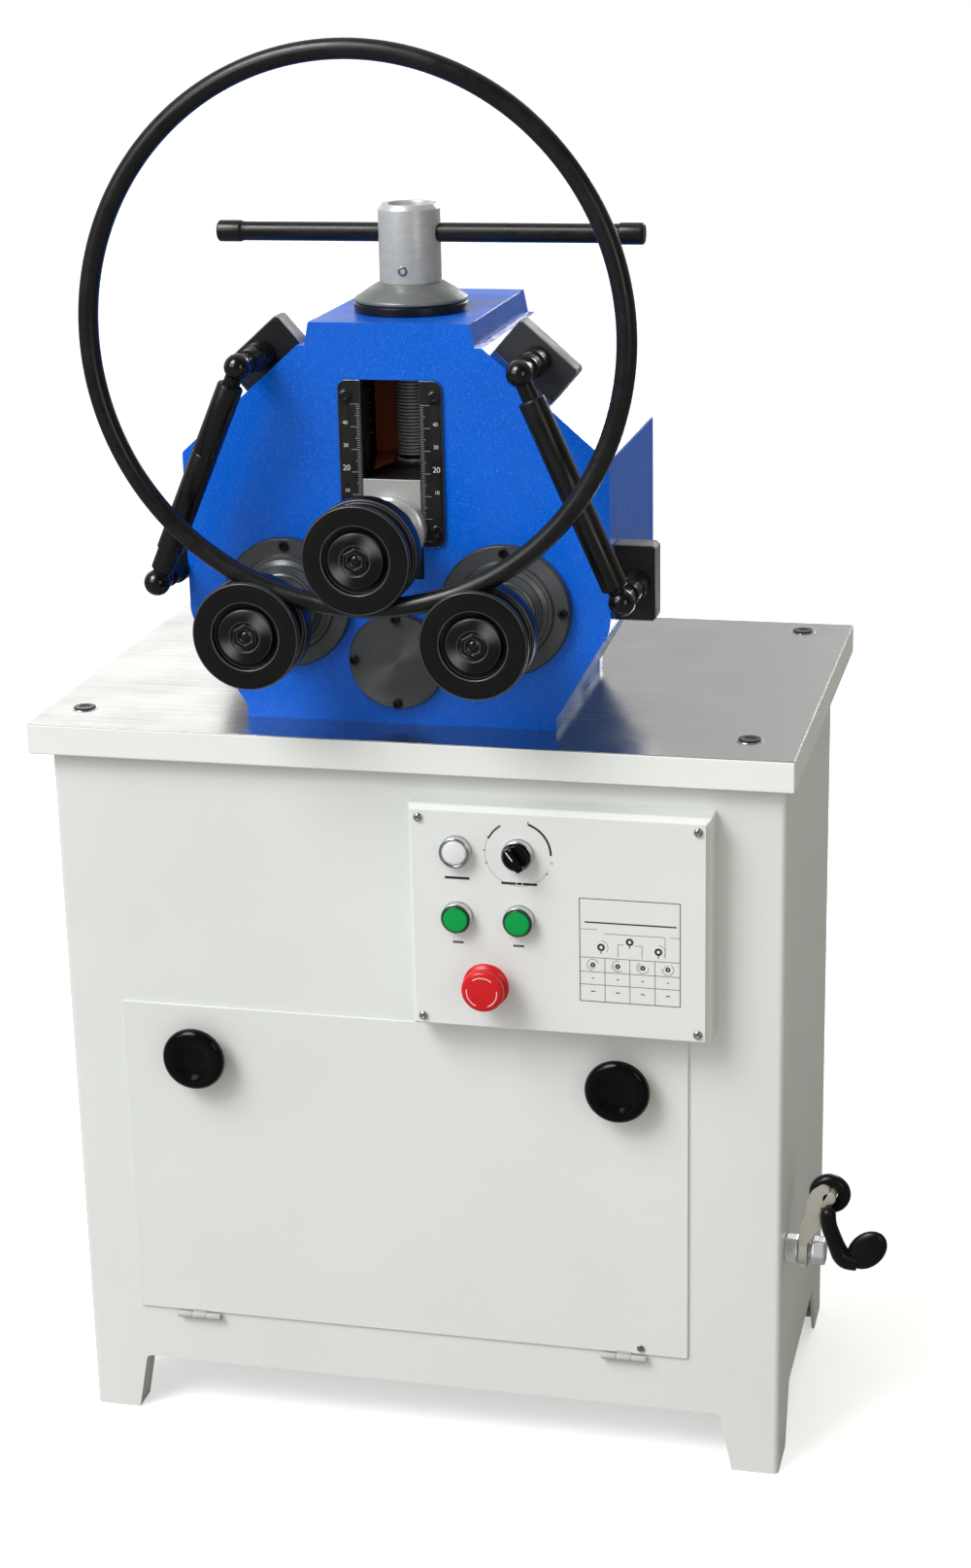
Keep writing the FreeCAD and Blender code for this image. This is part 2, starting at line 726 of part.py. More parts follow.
def build_control_box():
    """Shallow box on the cabinet front with its panel and controls."""
    box = plate("box_body", "XZ_Plane",
                rectangle("0", "0", "box_width", "box_height"), "box_depth",
                ("box_x", "cabinet_front", "box_bottom"))
    bevelled(box, "box_bevel", lambda edge: all(
        abs(v.Point.y - number("box_front")) < 1e-3 or
        abs(v.Point.y + number("box_depth")) < 1e-3 for v in edge.Vertexes))
    cavity = block("box_cavity", "box_width - 2 * box_bevel - 2 * box_wall",
                   "box_depth + 2", "box_height - 2 * box_bevel - 2 * box_wall",
                   "box_x + box_bevel + box_wall", "box_front - 1",
                   "box_bottom + box_bevel + box_wall")
    keep("control_box", less("control_box", box, [cavity]))
    columns = ("control_x", "control_x + control_pitch_x")
    rows = ("control_z - control_pitch_z", "control_z")
    grid = [(x, z) for z in rows for x in columns]
    stop = ("control_x + control_pitch_x / 2", "control_z - stop_drop")
    hole = "bezel_bore - 4"
    keep("control_panel", plate(
        "control_panel", "XZ_Plane",
        rectangle("box_x + panel_inset", "box_bottom + panel_inset",
                  "box_x + box_width - panel_inset", "box_bottom + box_height - panel_inset"),
        "panel_sheet", (0, "box_front", 0),
        holes=[(x, z, hole) for x, z in grid + [stop]]))
    screw = turned("pan_screw",
                   [(0, 0), ("screw_head_dia / 2", 0),
                    ("screw_head_dia / 2 - 0.9", "screw_head_height * 0.75"),
                    ("screw_head_dia / 2 - 2", "screw_head_height"), (1.6, "screw_head_height"),
                    (1.6, 1.2), (0, 1.2)], turn=frontward)
    corners = [(f"box_x + panel_screw_inset + {i} * (box_width - 2 * panel_screw_inset)",
                "panel_face",
                f"box_bottom + panel_screw_inset + {j} * (box_height - 2 * panel_screw_inset)",
                frontward) for i in (0, 1) for j in (0, 1)]
    corners += [(f"{i} * (cabinet_width / 2 - back_margin * 0.75)", "plate_back + 2",
                 f"(leg_height + cabinet_top) / 2 + {j} * (cabinet_top - leg_height"
                 f" - 1.5 * back_margin) / 2", backward) for i in (-1, 1) for j in (-1, 0, 1)]
    keep("panel_screws", copies("panel_screws", screw, corners))
    bezel = turned("bezel",
                   [("bezel_bore / 2 + 0.1", 0), ("bezel_dia / 2", 0),
                    ("bezel_dia / 2", "bezel_height - 2"),
                    ("bezel_dia / 2 - 1.6", "bezel_height"),
                    ("bezel_bore / 2 + 0.1", "bezel_height")],
                   ("control_x", "panel_face", "control_z"), frontward)
    keep("control_bezels", copies("control_bezels", bezel, [
        (x, "panel_face", z) for x, z in grid + [stop]]))
    keep("lamp_lens", turned(
        "lamp_lens",
        [(0, 0), ("bezel_bore / 2", 0), ("bezel_bore / 2", "bezel_height - 1"),
         ("bezel_bore / 2 - 2", "bezel_height + 0.4"), (0, "bezel_height + 0.8")],
        ("control_x", "panel_face", "control_z"), frontward))
    cap = [(0, "0 - stem_reach"), ("stem_dia / 2", "0 - stem_reach"),
           ("stem_dia / 2", "button_travel + 0.5"), ("button_dia / 2", "button_travel + 0.5"),
           ("button_dia / 2", "bezel_height + button_rise - 1"),
           ("button_dia / 2 - 1", "bezel_height + button_rise"),
           (0, "bezel_height + button_rise")]
    for node, x in (("forward_button", columns[0]), ("reverse_button", columns[1])):
        keep(node, turned(node, cap, (x, "panel_face", rows[0]), frontward))
    keep("stop_plunger", turned(
        "stop_plunger",
        [(0, "0 - stem_reach + (stop_travel - button_travel)"),
         ("stem_dia / 2", "0 - stem_reach + (stop_travel - button_travel)"),
         ("stem_dia / 2", "stop_travel + 0.5"), ("bezel_bore / 2 - 0.4", "stop_travel + 0.5"),
         ("bezel_bore / 2 - 0.4", "bezel_height + stop_travel + 0.3"),
         (0, "bezel_height + stop_travel + 0.3")],
        (stop[0], "panel_face", stop[1]), frontward))
    keep("stop_head", turned(
        "stop_head",
        [(0, 0), ("stop_dia / 2 - 5", 0), ("stop_dia / 2", "5", "6", 1),
         ("stop_dia / 2", "stop_height - 9"),
         ("stop_dia / 2 - 7", "stop_height - 1", "9", 1), (0, "stop_height")],
        (stop[0], "panel_face - bezel_height - stop_travel - rest_gap * 2", stop[1]),
        frontward))
    dial = turned("dial_body",
                  [(0, "0 - stem_reach - button_travel"),
                   ("stem_dia / 2 - 1", "0 - stem_reach - button_travel"),
                   ("stem_dia / 2 - 1", "1"), ("bezel_bore / 2 - 0.4", "1"),
                   ("bezel_bore / 2 - 0.4", "bezel_height + 0.4"),
                   ("dial_dia / 2", "bezel_height + 0.4"),
                   ("dial_dia / 2 - 0.8", "bezel_height + 3.4"), (0, "bezel_height + 3.4")],
                  (columns[1], "panel_face", rows[1]), frontward)
    grip = plate("dial_grip", "XZ_Plane",
                 [("0 - dial_dia / 2 + 2.5", "-4"), ("dial_dia / 2 + 2", "-4"),
                  ("dial_dia / 2 + 4", "0"), ("dial_dia / 2 + 2", "4"),
                  ("0 - dial_dia / 2 + 2.5", "4")],
                 "dial_height - 3", (columns[1], "panel_face - bezel_height - 3", rows[1]),
                 FreeCAD.Rotation(FreeCAD.Vector(0, 1, 0), -127))
    keep("speed_dial", joined("speed_dial", [dial, grip]))
    case = block("contact_case", "block_width", "block_depth", "block_width",
                 "0 - block_width / 2", 0, "0 - block_width / 2")
    reach = "block_front - panel_face - panel_sheet"
    collar = less("contact_collar",
                  rod("contact_tube", "block_width - 2", reach, 0, 0, 0, frontward),
                  [rod("contact_bore", "bezel_bore - 4", "40", 0, 1, 0, frontward)])
    contact = joined("contact_block", [case, collar])
    keep("contact_blocks", copies("contact_blocks", contact, [
        (x, "block_front", z) for x, z in grid + [stop]]))


def build_door():
    """Drop-down flap with two pulls, on two short knuckle hinges."""
    panel = plate("door_sheet_body", "XZ_Plane",
                  rectangle("door_x", "door_bottom", "door_x + door_width",
                            "door_bottom + door_height"), "door_sheet", (0, "door_back", 0))
    lip = plate("door_lip", "XZ_Plane",
                rectangle("door_x + door_lap + 1", "door_bottom + door_lap + 1",
                          "door_x + door_width - door_lap - 1",
                          "door_bottom + door_height - door_lap - 1"),
                "8", (0, "door_back + 8", 0),
                windows=[rectangle("door_x + door_lap + 3", "door_bottom + door_lap + 3",
                                   "door_x + door_width - door_lap - 3",
                                   "door_bottom + door_height - door_lap - 3")])
    ends = [f"door_x + {k} * door_width + {s} * knuckle_inset" for k, s in ((0, 1), (1, -1))]
    door_pieces = [panel, lip]
    cabinet_pieces = []
    for index, x in enumerate(ends):
        middle = rod(f"door_knuckle_{index}", "knuckle_dia", "knuckle_length",
                     f"{x} - knuckle_length / 2", "hinge_y", "hinge_z", rightward)
        web = block(f"door_web_{index}", "knuckle_length", "1.4", "knuckle_dia / 2 + 3",
                    f"{x} - knuckle_length / 2", "hinge_y + knuckle_dia / 2 - 1.4 - 0.6",
                    "hinge_z")
        bore = rod(f"knuckle_bore_{index}", "3.1", "knuckle_length + 2",
                   f"{x} - knuckle_length / 2 - 1", "hinge_y", "hinge_z", rightward)
        door_pieces.append(less(f"door_hinge_part_{index}",
                                joined(f"door_hinge_blank_{index}", [middle, web]), [bore]))
        pin = rod(f"hinge_pin_{index}", "3", "3 * knuckle_length + 1",
                  f"{x} - 1.5 * knuckle_length - 0.5", "hinge_y", "hinge_z", rightward)
        cabinet_pieces.append(pin)
        for side, offset in (("a", "-1.5 * knuckle_length - 0.3"),
                             ("b", "0.5 * knuckle_length + 0.3")):
            cabinet_pieces.append(rod(
                f"fixed_knuckle_{index}{side}", "knuckle_dia", "knuckle_length",
                f"{x} + ({offset})", "hinge_y", "hinge_z", rightward))
            cabinet_pieces.append(block(
                f"fixed_leaf_{index}{side}", "knuckle_length", "cabinet_front - hinge_y",
                "knuckle_dia / 2", f"{x} + ({offset})", "hinge_y",
                "hinge_z - knuckle_dia / 2"))
    keep("door_panel", joined("door_panel", door_pieces))
    keep("door_hinges", joined("door_hinges", cabinet_pieces))
    pull = turned("pull",
                  [(0, 0), (11, 0), (13, "pull_depth * 0.35"),
                   ("pull_dia / 2 - 3", "pull_depth * 0.45"),
                   ("pull_dia / 2", "pull_depth * 0.7", "pull_depth * 0.3", 1),
                   ("pull_dia / 2 - 5", "pull_depth", "pull_depth * 0.32", 1),
                   (17, "pull_depth - 5", "24", -1), (15, "pull_depth - 4"),
                   (0, "pull_depth - 3")], turn=frontward)
    keep("door_pulls", copies("door_pulls", pull, [
        (f"door_x + pull_left + {i} * pull_span", "door_back - door_sheet",
         "door_bottom + door_height - pull_drop") for i in (0, 1)]))


def head_outline():
    """Right half of the head's outline, from the table up to the shoulder."""
    return [("base_half", "0"), ("base_half", "base_rise"), ("side_half", "side_low"),
            ("side_half", "side_high"), ("top_half", "top_rise")]


def round_sides(body):
    """Round the corners of the head's sides: wide below, small at the shoulders."""
    for radius, z in (("low_round", "side_low"), ("high_round", "side_high")):
        corners = [(sign * number("side_half"), number(z)) for sign in (-1, 1)]
        rounded(body, radius, cross_edge(1, corners))


def build_head():
    """Front plate, housing, rear cover and top slab of the roll head."""
    at_front = ("head_x", "head_y + head_plate", "table_height")
    tab = [("tab_low_half", "top_rise"), ("tab_top_half", "top_rise + slab_height")]
    axes = [("0 - roll_half_span", "lower_shaft_rise"), ("roll_half_span", "lower_shaft_rise")]
    pinion = ("0", "pinion_z - table_height")
    front = plate("head_front_plate", "XZ_Plane", mirrored(head_outline() + tab), "head_plate",
                  at_front,
                  windows=[rectangle("0 - slot_half", "slot_low", "slot_half", "slot_high")],
                  holes=[(x, z, "spigot_dia + 2 * running_gap") for x, z in axes]
                  + [(*pinion, "bearing_dia + 2 * running_gap")])
    round_sides(front)
    keep("head_front_plate", front)
    inner = [("base_half - head_wall", "base_rise"),
             ("side_half - head_wall", "side_low + 2"),
             ("side_half - head_wall", "side_high - head_wall * 0.45"),
             ("top_half - 3", "top_rise - head_wall")]
    shell = plate("housing_shell", "XZ_Plane", mirrored(head_outline()),
                  "head_depth - head_plate - head_cover",
                  ("head_x", "head_back - head_cover", "table_height"),
                  windows=[mirrored(inner)])
    round_sides(shell)
    spindle_way = rod("roof_bore", "nut_dia + 2", "head_wall + 4", "head_x", "spindle_y",
                      "table_height + top_rise - head_wall - 2")
    keep("head_housing", less("head_housing", shell, [spindle_way]))
    cover = plate("cover_plate", "XZ_Plane", mirrored(head_outline() + tab), "head_cover",
                  ("head_x", "head_back", "table_height"),
                  holes=[(*pinion, "journal_dia + 4")])
    round_sides(cover)
    ears = []
    seats = []
    for index, (x, z) in enumerate(axes + [pinion]):
        ears.append(rod(f"bearing_ear_{index}", "spigot_dia", "bearing_width - head_cover + 4",
                        f"head_x + {x}", "head_back - head_cover", f"table_height + {z}",
                        frontward))
        seats.append(rod(f"bearing_seat_{index}", "bearing_dia + 2 * running_gap",
                         "bearing_width + 5", f"head_x + {x}",
                         "head_back - 4", f"table_height + {z}", frontward))
    keep("head_rear_cover", less("head_rear_cover",
                                 joined("cover_with_ears", [cover] + ears), seats))
    slab = plate("slab_plate", "XZ_Plane",
                 mirrored([("tab_low_half", "top_rise"),
                           ("tab_top_half", "top_rise + slab_height")]),
                 "head_depth - head_plate - head_cover",
                 ("head_x", "head_back - head_cover", "table_height"))
    nut_bore = rod("nut_bore", "nut_dia + 2 * running_gap", "slab_height + 2", "head_x",
                   "spindle_y", "table_height + top_rise - 1")
    keep("head_top_slab", less("head_top_slab", slab, [nut_bore]))


def build_front_fittings():
    """Bearing flanges, centre cover, scale strips and their screws."""
    flange = turned(
        "bearing_flange",
        [("journal_dia / 2 + 0.5", "flange_sheet + flange_nose"),
         ("journal_dia / 2 + 0.5", "0 - 1"), ("bearing_dia / 2 + running_gap", "0 - 1"),
         ("bearing_dia / 2 + running_gap", "0 - head_plate"),
         ("spigot_dia / 2", "0 - head_plate"), ("spigot_dia / 2", "0"),
         ("flange_dia / 2", "0"), ("flange_dia / 2", "flange_sheet - 1"),
         ("flange_dia / 2 - 1", "flange_sheet"),
         ("flange_step_dia / 2", "flange_sheet"),
         ("flange_step_dia / 2", "flange_sheet + 2"),
         ("flange_nose_dia / 2", "flange_sheet + flange_nose - 3"),
         ("flange_nose_dia / 2 - 3", "flange_sheet + flange_nose")], turn=frontward)
    keep("bearing_flanges", copies("bearing_flanges", flange, [
        (f"head_x + {s} * roll_half_span", "head_y", "lower_z") for s in (-1, 1)]))
    keep("centre_cover", turned(
        "centre_cover",
        [(0, 0), ("cover_dia / 2", 0), ("cover_dia / 2", "cover_sheet - 1"),
         ("cover_dia / 2 - 1", "cover_sheet"), (0, "cover_sheet")],
        ("head_x", "head_y", "pinion_z"), frontward))
    screw = turned("socket_screw",
                   [(0, 0), ("screw_head_dia / 2", 0),
                    ("screw_head_dia / 2", "screw_head_height - 0.6"),
                    ("screw_head_dia / 2 - 0.6", "screw_head_height"),
                    ("screw_socket / 2", "screw_head_height"), ("screw_socket / 2", 1),
                    (0, 1)], turn=frontward)
    quarter = [(0, 1), (1, 0), (0, -1), (-1, 0)]
    spots = [(f"head_x + {s} * roll_half_span + {i} * flange_screw_circle / 2",
              "head_y - flange_sheet", f"lower_z + {j} * flange_screw_circle / 2")
             for s in (-1, 1) for i, j in quarter]
    spots += [(f"head_x + {i} * cover_screw_circle / 2", "head_y - cover_sheet",
               f"pinion_z + {j} * cover_screw_circle / 2") for i, j in quarter]
    spots += [(f"head_x + {s} * (slot_half + strip_width * 0.66)", "head_y - strip_sheet",
               f"table_height + slot_high - {k} * strip_height"
               f" - {1 - 2 * k} * strip_screw_in") for s in (-1, 1) for k in (0, 1)]
    keep("head_screws", copies("head_screws", screw, spots))
    strips = []
    for side, sign in (("left", "-1"), ("right", "1")):
        low = "slot_high - strip_height"
        strips.append(plate(
            f"scale_strip_{side}", "XZ_Plane",
            [(f"{sign} * slot_half", low), (f"{sign} * (slot_half + strip_width - 7)", low),
             (f"{sign} * (slot_half + strip_width)", f"{low} + 7"),
             (f"{sign} * (slot_half + strip_width)", "slot_high - 7"),
             (f"{sign} * (slot_half + strip_width - 7)", "slot_high"),
             (f"{sign} * slot_half", "slot_high")],
            "strip_sheet", ("head_x", "head_y", "table_height")))
    group = document.addObject("Part::Compound", "scale_strips")
    group.Links = strips
    keep("scale_strips", group)


def shaft_profile(back):
    """Profile of a roll shaft: local Z grows to the front from the roll's rear face."""
    return [(0, f"0 - ({back})"), ("journal_dia / 2 - 1", f"0 - ({back})"),
            ("journal_dia / 2", f"1 - ({back})"), ("journal_dia / 2", "0 - collar_width"),
            ("collar_dia / 2 - 5", "0 - collar_width"),
            ("collar_dia / 2", "5 - collar_width", "5", 1), ("collar_dia / 2", "-2"),
            ("collar_dia / 2 - 2", "0"), ("seat_dia / 2", "0"),
            ("seat_dia / 2", "roll_width - recess_depth - 1"),
            (0, "roll_width - recess_depth - 1")]


def roll_profile():
    """Profile of a grooved roll: local Z grows to the front from its rear face."""
    rim = "roll_dia / 2"
    low = "roll_width - roll_front_flange - 2 * groove_half"
    high = "roll_width - roll_front_flange"
    middle = "roll_width - roll_front_flange - groove_half"
    return [("seat_dia / 2 + running_gap", 0), ("collar_dia / 2 + 4", 0),
            (f"{rim} - 1.5", 3), (rim, 4.5), (rim, f"{low} - 1"), (f"{rim} - 1", low),
            ("groove_root / 2 + groove_half", low),
            ("groove_root / 2", middle, "groove_half", -1),
            ("groove_root / 2 + groove_half", high, "groove_half", -1),
            (f"{rim} - 1", high), (rim, f"{high} + 1"), (rim, "roll_width - 2"),
            (f"{rim} - 2", "roll_width"), ("recess_dia / 2", "roll_width"),
            ("recess_dia / 2", "roll_width - recess_depth"),
            ("seat_dia / 2 + running_gap", "roll_width - recess_depth")]


def roll_cap(node, x, z):
    """Clamping cap with a sunk hexagon, seated in a roll's front recess."""
    base = "roll_face + recess_depth"
    body = turned(f"{node}_disc",
                  [(0, 0), ("cap_dia / 2", 0), ("cap_dia / 2", "cap_height - 2"),
                   ("cap_dia / 2 - 2", "cap_height"), ("cap_eye_dia / 2 + 1", "cap_height"),
                   ("cap_eye_dia / 2", "cap_height - 1"),
                   ("cap_eye_dia / 2", "cap_height - cap_eye_depth"),
                   (0, "cap_height - cap_eye_depth")], (x, base, z), frontward)
    drive = hexagon(f"{node}_hexagon", "cap_hex", "cap_eye_depth + 0.6", x,
                    f"{base} - cap_height + cap_eye_depth + 0.1", z, frontward)
    dimple = rod(f"{node}_dimple", "10", "3", x,
                 f"{base} - cap_height + 1.2", z, frontward)
    return keep(node, less(node, joined(f"{node}_blank", [body, drive]), [dimple]))


def gear_outline(teeth, phase):
    """Face of a spur gear: each flank is an arc through three involute points."""
    module = number("gear_module")
    pitch_radius = module * teeth / 2
    base_radius = pitch_radius * math.cos(math.radians(20))
    root_radius = pitch_radius - 1.2 * module
    tip_radius = pitch_radius + module
    start_radius = max(base_radius, root_radius + 0.2)
    half_tooth = (math.pi * module / 2 - number("backlash")) / 2 / pitch_radius

    def involute(radius):
        roll = math.sqrt(max((radius / base_radius) ** 2 - 1, 0))
        return roll - math.atan(roll)

    def spot(radius, angle):
        return FreeCAD.Vector(radius * math.cos(angle), radius * math.sin(angle), 0)

    def flank(centre, side):
        radii = (start_radius, (start_radius + tip_radius) / 2, tip_radius)
        turns = [half_tooth + involute(pitch_radius) - involute(r) for r in radii]
        return [spot(r, centre + side * t) for r, t in zip(radii, turns)]

    edges = []
    last = None
    first = None
    for tooth in range(teeth):
        centre = phase + 2 * math.pi * tooth / teeth
        rising = flank(centre, -1)
        falling = flank(centre, 1)[::-1]
        foot = spot(root_radius, math.atan2(rising[0].y, rising[0].x))
        heel = spot(root_radius, math.atan2(falling[2].y, falling[2].x))
        if last is not None:
            edges.append(Part.LineSegment(last, foot).toShape())
        else:
            first = foot
        edges.append(Part.LineSegment(foot, rising[0]).toShape())
        edges.append(Part.Arc(*rising).toShape())
        edges.append(Part.LineSegment(rising[2], falling[0]).toShape())
        edges.append(Part.Arc(*falling).toShape())
        edges.append(Part.LineSegment(falling[2], heel).toShape())
        last = heel
    edges.append(Part.LineSegment(last, first).toShape())
    return Part.Face(Part.Wire(edges))


def gear_blank(name, teeth, phase, width):
    """A spur gear along its local Z, as a plain feature."""
    feature = document.addObject("Part::Feature", name)
    feature.Shape = gear_outline(teeth, phase).extrude(FreeCAD.Vector(0, 0, number(width)))
    return feature


def build_gears():
    """Centre pinion shaft that drives a gear on each lower shaft."""
    pinion_teeth = int(number("pinion_teeth"))
    gear_teeth = int(number("gear_teeth"))
    pinion_radius = number("gear_module") * pinion_teeth / 2
    gear_radius = number("gear_module") * gear_teeth / 2
    pitch = math.pi * number("gear_module")
    drop = number("lower_z - pinion_z")
    width = "gear_width + 2"
    for node, sign in (("left_gear", -1), ("right_gear", 1)):
        # The gears face the front, so angles run in the front view.
        to_gear = math.atan2(drop, sign * number("roll_half_span"))
        step = 2 * math.pi / pinion_teeth
        to_tooth = (round(to_gear / step) * step - to_gear) * pinion_radius
        phase = to_gear + math.pi - (to_tooth + pitch / 2) / gear_radius
        blank = gear_blank(f"{node}_blank", gear_teeth, phase, "gear_width")
        place(blank, f"head_x + {sign} * roll_half_span", "gear_front + gear_width",
              "lower_z", frontward)
        bore = rod(f"{node}_bore", "journal_dia + 2 * running_gap", "gear_width + 2",
                   f"head_x + {sign} * roll_half_span", "gear_front + gear_width + 1",
                   "lower_z", frontward)
        keep(node, less(node, blank, [bore]))
    pinion = gear_blank("pinion_blank", pinion_teeth, 0, width)
    place(pinion, "head_x", "gear_front + gear_width + 1", "pinion_z", frontward)
    shaft = rod("pinion_rod", "journal_dia",
                "reducer_back - 20 - head_y - 2", "head_x", "reducer_back - 20",
                "pinion_z", frontward)
    keep("pinion_shaft", joined("pinion_shaft", [pinion, shaft]))


def build_rolls():
    """Three shafts with their rolls and caps, and the bearings."""
    lower_back = "head_back - 4 - roll_back - 1"
    for side, sign in (("left", "-1"), ("right", "1")):
        x = f"head_x + {sign} * roll_half_span"
        keep(f"lower_{side}_shaft", turned(
            f"lower_{side}_shaft", shaft_profile(lower_back), (x, "roll_back", "lower_z"),
            frontward))
        keep(f"lower_{side}_roll", turned(
            f"lower_{side}_roll", roll_profile(), (x, "roll_back", "lower_z"), frontward))
        roll_cap(f"lower_{side}_cap", x, "lower_z")
    upper_back = "carriage_front + carriage_depth - roll_back - 1"
    keep("upper_shaft", turned("upper_shaft", shaft_profile(upper_back),
                               ("head_x", "roll_back", "upper_z"), frontward))
    keep("upper_roll", turned("upper_roll", roll_profile(),
                              ("head_x", "roll_back", "upper_z"), frontward))
    roll_cap("upper_cap", "head_x", "upper_z")
    bearing = turned("bearing",
                     [("journal_dia / 2 + running_gap", 0), ("bearing_dia / 2", 0),
                      ("bearing_dia / 2", "bearing_width"),
                      ("journal_dia / 2 + running_gap", "bearing_width")], turn=frontward)
    spots = []
    for x, z in (("head_x - roll_half_span", "lower_z"), ("head_x + roll_half_span", "lower_z"),
                 ("head_x", "pinion_z")):
        spots.append((x, "head_y + 1 + bearing_width", z))
        spots.append((x, "head_back - 4", z))
    keep("shaft_bearings", copies("shaft_bearings", bearing, spots))
    keep("upper_bearings", copies("upper_bearings", bearing, [
        ("head_x", f"carriage_front + {start} + bearing_width", "upper_z")
        for start in ("3", "carriage_depth - 2 - bearing_width")]))


def build_slide():
    """Carriage of the upper shaft between its ways, with the spindle's keeper."""
    bulk = block("carriage_bulk", "2 * carriage_half", "carriage_depth", "carriage_height",
                 "head_x - carriage_half", "carriage_front", "carriage_low")
    neck = block("carriage_neck", "2 * neck_half",
                 "carriage_front - head_y + strip_sheet + 0.5", "carriage_height",
                 "head_x - neck_half", "head_y - strip_sheet - 0.5", "carriage_low")
    boss = turned("carriage_boss",
                  [(0, 0), ("boss_dia / 2", 0), ("boss_dia / 2", "boss_height - 3"),
                   ("boss_dia / 2 - 3", "boss_height"), (0, "boss_height")],
                  ("head_x", "head_y - strip_sheet - 0.5", "upper_z"), frontward)
    shaft_bore = rod("carriage_shaft_bore", "journal_dia + 1", "300", "head_x",
                     "head_back", "upper_z", frontward)
    bearing_bore = rod("carriage_bearing_bore", "bearing_dia + 2 * running_gap",
                       "carriage_depth", "head_x", "carriage_front + carriage_depth + 3",
                       "upper_z", frontward)
    keep("slide_carriage", less("slide_carriage",
                                joined("carriage_solid", [bulk, neck, boss]),
                                [shaft_bore, bearing_bore]))
    for_foot = rod("keeper_pocket", "spindle_foot_dia + 1", "spindle_foot + 1.6", "head_x",
                   "spindle_y", "carriage_low + carriage_height - 1")
    for_neck = rod("keeper_hole", "spindle_neck_dia + 1", "keeper_height + 2", "head_x",
                   "spindle_y", "carriage_low + carriage_height - 1")
    keeper = block("keeper_block", "2 * keeper_half_width", "2 * keeper_half_depth",
                   "keeper_height", "head_x - keeper_half_width",
                   "spindle_y - keeper_half_depth", "carriage_low + carriage_height")
    keep("keeper_plate", less("keeper_plate", keeper, [for_foot, for_neck]))
    way = block("way_bar", "way_width", "way_depth", "way_height", 0, 0, 0)
    keep("slide_ways", copies("slide_ways", way, [
        (x, "carriage_front", "table_height + slot_low - 0.5")
        for x in ("head_x - carriage_half - slide_gap - way_width",
                  "head_x + carriage_half + slide_gap")]))


def build_spindle():
    """Rising screw with its fixed nut, hub and sliding handle."""
    foot_low = "carriage_low + carriage_height + rest_gap"
    screw_top = "cone_low + cone_height + hub_height - hub_bore_depth"
    keep("spindle_screw", turned(
        "spindle_screw",
        [(0, 0), ("spindle_foot_dia / 2", 0), ("spindle_foot_dia / 2", "spindle_foot"),
         ("spindle_neck_dia / 2", "spindle_foot"),
         ("spindle_neck_dia / 2", "keeper_height + 0.5"),
         ("spindle_dia / 2 - 2", "keeper_height + 0.5"),
         ("spindle_dia / 2", "keeper_height + 2.5"),
         ("spindle_dia / 2", f"{screw_top} - ({foot_low})"),
         (0, f"{screw_top} - ({foot_low})")], ("head_x", "spindle_y", foot_low)))
    keep("spindle_nut", turned(
        "spindle_nut",
        [("spindle_dia / 2 + running_gap", "0 - nut_height"),
         ("nut_dia / 2 - 2", "0 - nut_height"), ("nut_dia / 2", "2 - nut_height"),
         ("nut_dia / 2", 0), ("ring_dia / 2", 0), ("ring_dia / 2", "ring_height - 1.5"),
         ("ring_dia / 2 - 1.5", "ring_height"),
         ("spindle_dia / 2 + running_gap", "ring_height")],
        ("head_x", "spindle_y", "slab_top")))
    blank = turned(
        "hub_blank",
        [("spindle_dia / 2 + running_gap", 0), ("ring_dia / 2 - 1.5", 0),
         ("ring_dia / 2 - 1", 2.5),
         ("cone_top_dia / 2", "cone_height"), ("hub_dia / 2", "cone_height + 0.5"),
         ("hub_dia / 2", "cone_height + hub_height - 3"),
         ("hub_dia / 2 - 3", "cone_height + hub_height"),
         ("hub_bore / 2", "cone_height + hub_height"),
         ("hub_bore / 2", "cone_height + hub_height - hub_bore_depth + 0.1"),
         ("spindle_dia / 2 + running_gap", "cone_height + hub_height - hub_bore_depth + 0.1")],
        ("head_x", "spindle_y", "cone_low"))
    cross = rod("hub_cross_hole", "handle_dia + 2 * running_gap + 0.5", "hub_dia + 10",
                "head_x - hub_dia / 2 - 5", "spindle_y", "bar_hole_z", rightward)
    keep("spindle_hub", less("spindle_hub", blank, [cross]))
    half = "handle_length / 2"
    keep("tommy_bar", turned(
        "tommy_bar",
        [(0, f"0 - {half}"), ("handle_end_dia / 2 - 2", f"0 - {half}"),
         ("handle_end_dia / 2", f"2 - {half}"),
         ("handle_end_dia / 2", f"handle_end - {half}"),
         ("handle_dia / 2", f"handle_end + 2 - {half}"),
         ("handle_dia / 2", f"{half} - handle_end - 2"),
         ("handle_end_dia / 2", f"{half} - handle_end"),
         ("handle_end_dia / 2", f"{half} - 2"), ("handle_end_dia / 2 - 2", half), (0, half)],
        ("head_x + handle_offset", "spindle_y", "bar_hole_z"), rightward))


def bracket_blank(name, width, height, hole_x, hole_z):
    """A guide bracket: a block with bevelled outer corners and a hole for its stud."""
    return plate(name, "XZ_Plane",
                 [(f"0 - ({width}) / 2", "0"), (f"({width}) / 2", "0"),
                  (f"({width}) / 2", f"{height} - bracket_edge"),
                  (f"({width}) / 2 - bracket_edge", f"{height}"),
                  (f"bracket_edge - ({width}) / 2", f"{height}"),
                  (f"0 - ({width}) / 2", f"{height} - bracket_edge")],
                 "bracket_thick", holes=[(hole_x, hole_z, "stud_dia + 2 * running_gap")])


